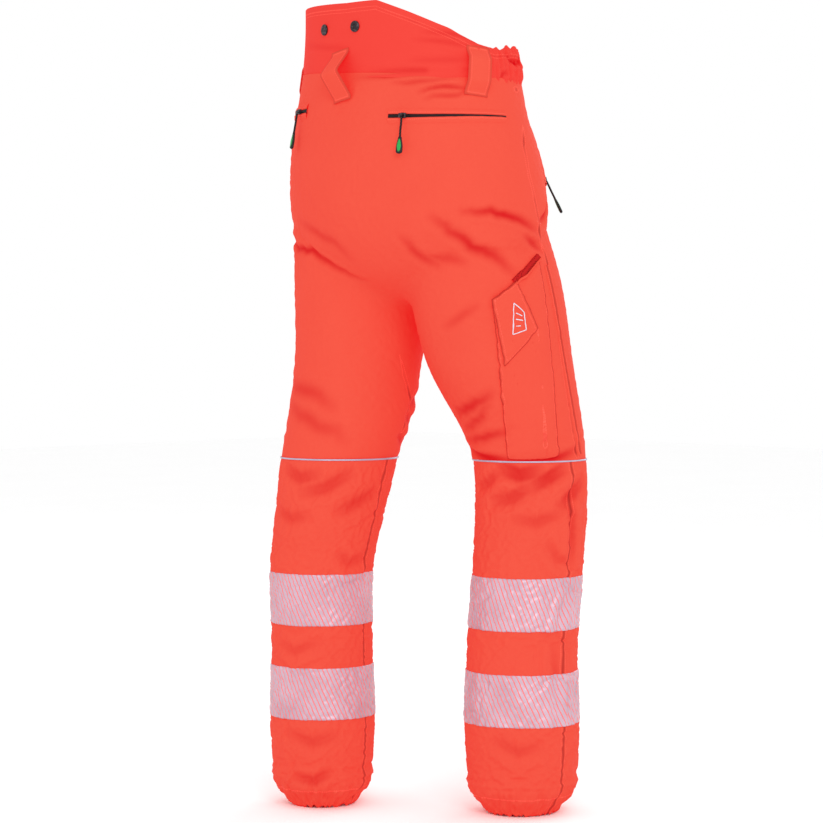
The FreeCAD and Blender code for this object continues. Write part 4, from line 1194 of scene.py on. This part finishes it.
def outseam_welt(side, tree):
    """A raised welt with two rows of stitches down the outer seam."""
    (top_y, top_z), (low_y, low_z) = {"left": ((-0.0295, 0.783), (0.0075, 0.520)),
                                      "right": ((-0.0705, 0.790), (-0.1505, 0.520))}[side]
    sign = SIDES[side]
    rows = []
    for share in np.linspace(0, 1, 80):
        y, z = top_y + (low_y - top_y) * share, top_z + (low_z - top_z) * share
        rows.append(hit(tree, (sign * 0.4, WAIST.y + y, z), (-sign, 0, 0)))
    half = [(0.0014, 0.0010), (0.0034, 0.0019), (0.0050, 0.0016), (0.0060, 0.0001)]
    profile = [(-place, lift) for place, lift in half[::-1]] + half
    welt, spread = ribbon(f"outseam_welt_{side}", tree, rows, profile)
    sew(welt, np.abs(np.abs(spread[..., 1]) - 0.0002), spread[..., 0])
    piece(welt, "cloth", "outseam_welts")


def front_placket(tree):
    """The flap of cloth over the fly, from the waistband down to its curved end."""
    corners = [(0.020, 1.060), (-0.018, 1.060), (-0.010, 0.886), (0.018, 0.886)]
    placed = [hit(tree, (x, -0.5, z), (0, 1, 0)) for x, z in corners]
    placket = patch("fly_placket_cloth", tree, placed, (0.0016, 0.0022))
    piece(placket, "cloth", "fly_placket")


# ---- belt loops

# Each loop's upper and lower end from the middle of the waist, its stand-off and half its flat stretch.
LOOPS = {
    "back": ((0.010, 0.1276, 1.094), (-0.004, 0.137, 1.021), 0.027, 0.001),
    "right": ((-0.1665, 0.0335, 1.094), (-0.1745, 0.046, 1.024), 0.014, 0.016),
    "left": ((0.1665, 0.0335, 1.100), (0.178, 0.036, 1.030), 0.009, 0.016),
    "front_right": ((-0.075, -0.1165, 1.090), (-0.078, -0.124, 1.020), 0.016, 0.015),
    "front_left": ((0.075, -0.1165, 1.090), (0.078, -0.124, 1.020), 0.016, 0.015),
}


def belt_loop(name, top, low, stand_off, level):
    """A folded strap of cloth sewn down at both ends, standing off the waist between them."""
    top, low = WAIST + Vector(top), WAIST + Vector(low)
    up = (top - low).normalized()
    middle = (top + low) / 2
    flat = Vector((middle.x / 0.180**2, (middle.y - WAIST.y) / 0.131**2, 0)).normalized()
    outward = (flat - up * flat.dot(up)).normalized()
    across = up.cross(outward)
    reach = (top - low).length / 2
    sewn_out, loop_out, half_width, step = 0.0018, stand_off - 0.001, 0.0175, 0.0015
    upper = [(0, reach, sewn_out), (0, reach - 0.006, sewn_out), (0, level, loop_out)]
    spots = upper + [(0, -rise, out) for _, rise, out in upper[::-1]]
    path = fine_path(spots, step)
    for _ in range(3):
        path[1:-1] = (path[:-2] + 2 * path[1:-1] + path[2:]) / 4
    widths = np.linspace(-half_width, half_width, 15)
    bow = 0.0008 * np.cos(widths / half_width * math.pi / 2)
    grid = np.array([[middle + across * -w + up * rise + outward * (out + b) for w, b in zip(widths, bow)]
                     for _, rise, out in path])
    loop = grid_object(f"belt_loop_{name}", grid, closed=False)
    runs = np.arange(len(path)) * step
    gaps = np.minimum(half_width - np.abs(widths) - 0.0006, np.minimum(runs, runs[::-1])[:, None])
    sew(loop, np.maximum(0.0016, gaps), np.repeat(runs, len(widths)))
    modify(loop, "SOLIDIFY", thickness=0.0020, offset=0)
    modify(loop, "BEVEL", width=0.0005, segments=2, limit_method="ANGLE")
    piece(loop, "cloth", "belt_loops")


# ---- pull cords and tags

# Sideways, down and outwards from the ring's centre to the socket in the tag.
CORD_ROUTE = [
    (0, -0.0029, 0), (0.0006, -0.0105, 0.0003), (-0.0005, -0.0205, -0.0002), (0.0002, -0.0336, 0.0002),
]
# Degrees by which each kind of pull leans back from hanging straight down.
PULL_LEAN = {"rear": 10, "hand": 26}
TAG_TOP = 0.0296
TAG_LENGTH = 0.025


def pull_frame(kind, side):
    """Ring centre and the sideways, upward and outward directions of a pull, from its joint."""
    joint = next(j for j in frame["joints"] if j["name"] == f"{kind}_pull_{side}_swing")
    axis = Vector(joint["axis"]).normalized()
    turn = math.radians(PULL_LEAN[kind])
    flat_out = Vector((0, 0, 1)).cross(axis).normalized()
    outward = flat_out * math.cos(turn) + Vector((0, 0, 1)) * math.sin(turn)
    up = Vector((0, 0, 1)) * math.cos(turn) - flat_out * math.sin(turn)
    return Vector(joint["pos_m"]), up.cross(outward), up, outward


def pull(kind, side):
    """A zip's pull: the cord from the slider's ring and the drop-shaped tag at its end."""
    ring, across, up, outward = pull_frame(kind, side)
    spots = [ring + across * x + up * y + outward * z for x, y, z in CORD_ROUTE]
    cord = cord_curve(f"{kind}_pull_cord_{side}", spots, 0.0015)
    tag = pull_tag(f"{kind}_pull_tag_{side}", ring, across, up, outward)
    for made, look in ((cord, "cord"), (tag, "tag")):
        piece(made, look, f"{kind}_{look}_{side}", body=f"{kind}_pull_{side}")


def cord_curve(name, spots, radius):
    """A cord as one smooth spline through a given route."""
    curve = bpy.data.curves.new(name, "CURVE")
    curve.dimensions = "3D"
    curve.bevel_depth = radius
    curve.bevel_resolution = 4
    curve.use_fill_caps = True
    spline = curve.splines.new("NURBS")
    spline.points.add(len(spots) - 1)
    for point, spot in zip(spline.points, spots):
        point.co = (*spot, 1)
    spline.order_u = 3
    spline.use_endpoint_u = True
    return link(name, curve)


def pull_tag(name, ring, across, up, outward):
    """A moulded drop-shaped tag with a green inlay on each face."""
    shares = np.linspace(0, 1, 26)
    width = 0.0024 + 0.0024 * steps(shares, 0.0, 0.62)
    width *= np.sqrt(1 - ((shares - 0.86) / 0.14).clip(0, 1) ** 2)
    width *= np.sqrt(1 - ((0.06 - shares) / 0.06).clip(0, 1) ** 2)
    thick = 0.0021 * np.sqrt(np.clip(width / 0.0048, 0.02, 1))
    turn = np.linspace(0, math.tau, 28, endpoint=False)
    rounded_x, rounded_z = [np.sign(wave) * np.abs(wave) ** 0.75 for wave in (np.cos(turn), np.sin(turn))]

    def row(share, sideways, outwards):
        """Points across the tag at a share of the way down it."""
        centre = ring - up * (TAG_TOP + TAG_LENGTH * share)
        return [centre + across * x + outward * z for x, z in zip(sideways, outwards)]

    tag = grid_object(name, np.array([row(share, rounded_x * wide, rounded_z * deep)
                                      for share, wide, deep in zip(shares, width, thick)]))
    core = shares[(shares > 0.14) & (shares < 0.90)]
    taper = np.sqrt(np.clip(1 - ((core - 0.52) / 0.39) ** 2, 0.01, 1))
    inner = 0.62 * np.interp(core, shares, width) * taper
    raised = np.interp(core, shares, thick) * 0.94 + 0.0003
    spread = np.linspace(-1, 1, 9)
    arch = np.sqrt(1 - 0.25 * spread**2)
    for place, face in (("outer", 1), ("inner", -1)):
        rows = [row(share, spread * wide * face, arch * deep * face)
                for share, wide, deep in zip(core, inner, raised)]
        inlay = grid_object(f"{name}_inlay_{place}", np.array(rows), closed=False)
        modify(inlay, "SOLIDIFY", thickness=0.0006, offset=-1)
        dress(inlay, "inlay")
        inlay.parent = tag
    return tag


# ---- inside the upper garment

def inner_layers(upper):
    """Lining, thigh pads and pocket bags, as layers inside the cloth."""
    centres = vectors(upper.data.polygons, "center")
    x, y, z = centres.T
    fly = (np.abs(x) < 0.014) & (y < -0.06) & (z > 0.870)
    lined = (z > KNEE + 0.004) & ~fly
    inner_layer("upper_lining_mesh", upper, lined, 0.0078, 0.0006, "lining", "upper_lining")
    for side, sign in SIDES.items():
        ahead = y < side_seam_y(centres, side) - 0.01
        chosen = (x * sign > 0.012) & ahead & (z > KNEE + 0.008) & (z < 0.965)
        pad = inner_layer(f"thigh_padding_{side}", upper, chosen, 0.0022, 0.0048, "padding",
                          f"thigh_pad_{side}")
        rear = (x * sign > 0.062) & (y > WAIST.y + 0.014) & (z > 0.88) & (z < 1.012)
        front = (x * sign > 0.118) & (y < WAIST.y - 0.034) & (z > 0.968) & (z < 1.036)
        for place, region in (("rear", rear), ("hand", front)):
            inner_layer(f"{place}_pocket_bag_{side}", upper, region, 0.0024, 0.004, "lining",
                        f"{place}_pocket_bags")


def dress_frame():
    """Give the CAD nodes that stay in view their materials."""
    for name, node in frame["nodes"].items():
        if "slider" in name or name in ("brace_studs", "waist_snap"):
            dress(node, "metal")
        elif name == "fly_zip":
            dress(node, "zip")


def main():
    add_camera()
    for kind in ("rear", "hand"):
        for side in SIDES:
            pull(kind, side)
    studio()
    upper = upper_garment()
    sew(upper, *seam_fields(points_of(upper)))
    tree = surface_tree(upper)
    inner_layers(upper)
    for side in SIDES:
        rear_zip(side, tree)
        hand_zip(side, tree)
        outseam_welt(side, tree)
        leg_trim(side, lower_leg(side))
    cargo_pocket(tree)
    front_placket(tree)
    modify(upper, "SOLIDIFY", thickness=CLOTH_THICKNESS, offset=-1)
    piece(upper, "cloth", "crotch_gusset", "back_yoke",
          *[f"{node}_{side}" for side in SIDES for node in ("front_panel", "seat_panel", "thigh_back")])
    waistband()
    for name, spec in LOOPS.items():
        belt_loop(name, *spec)
    dress_frame()


main()
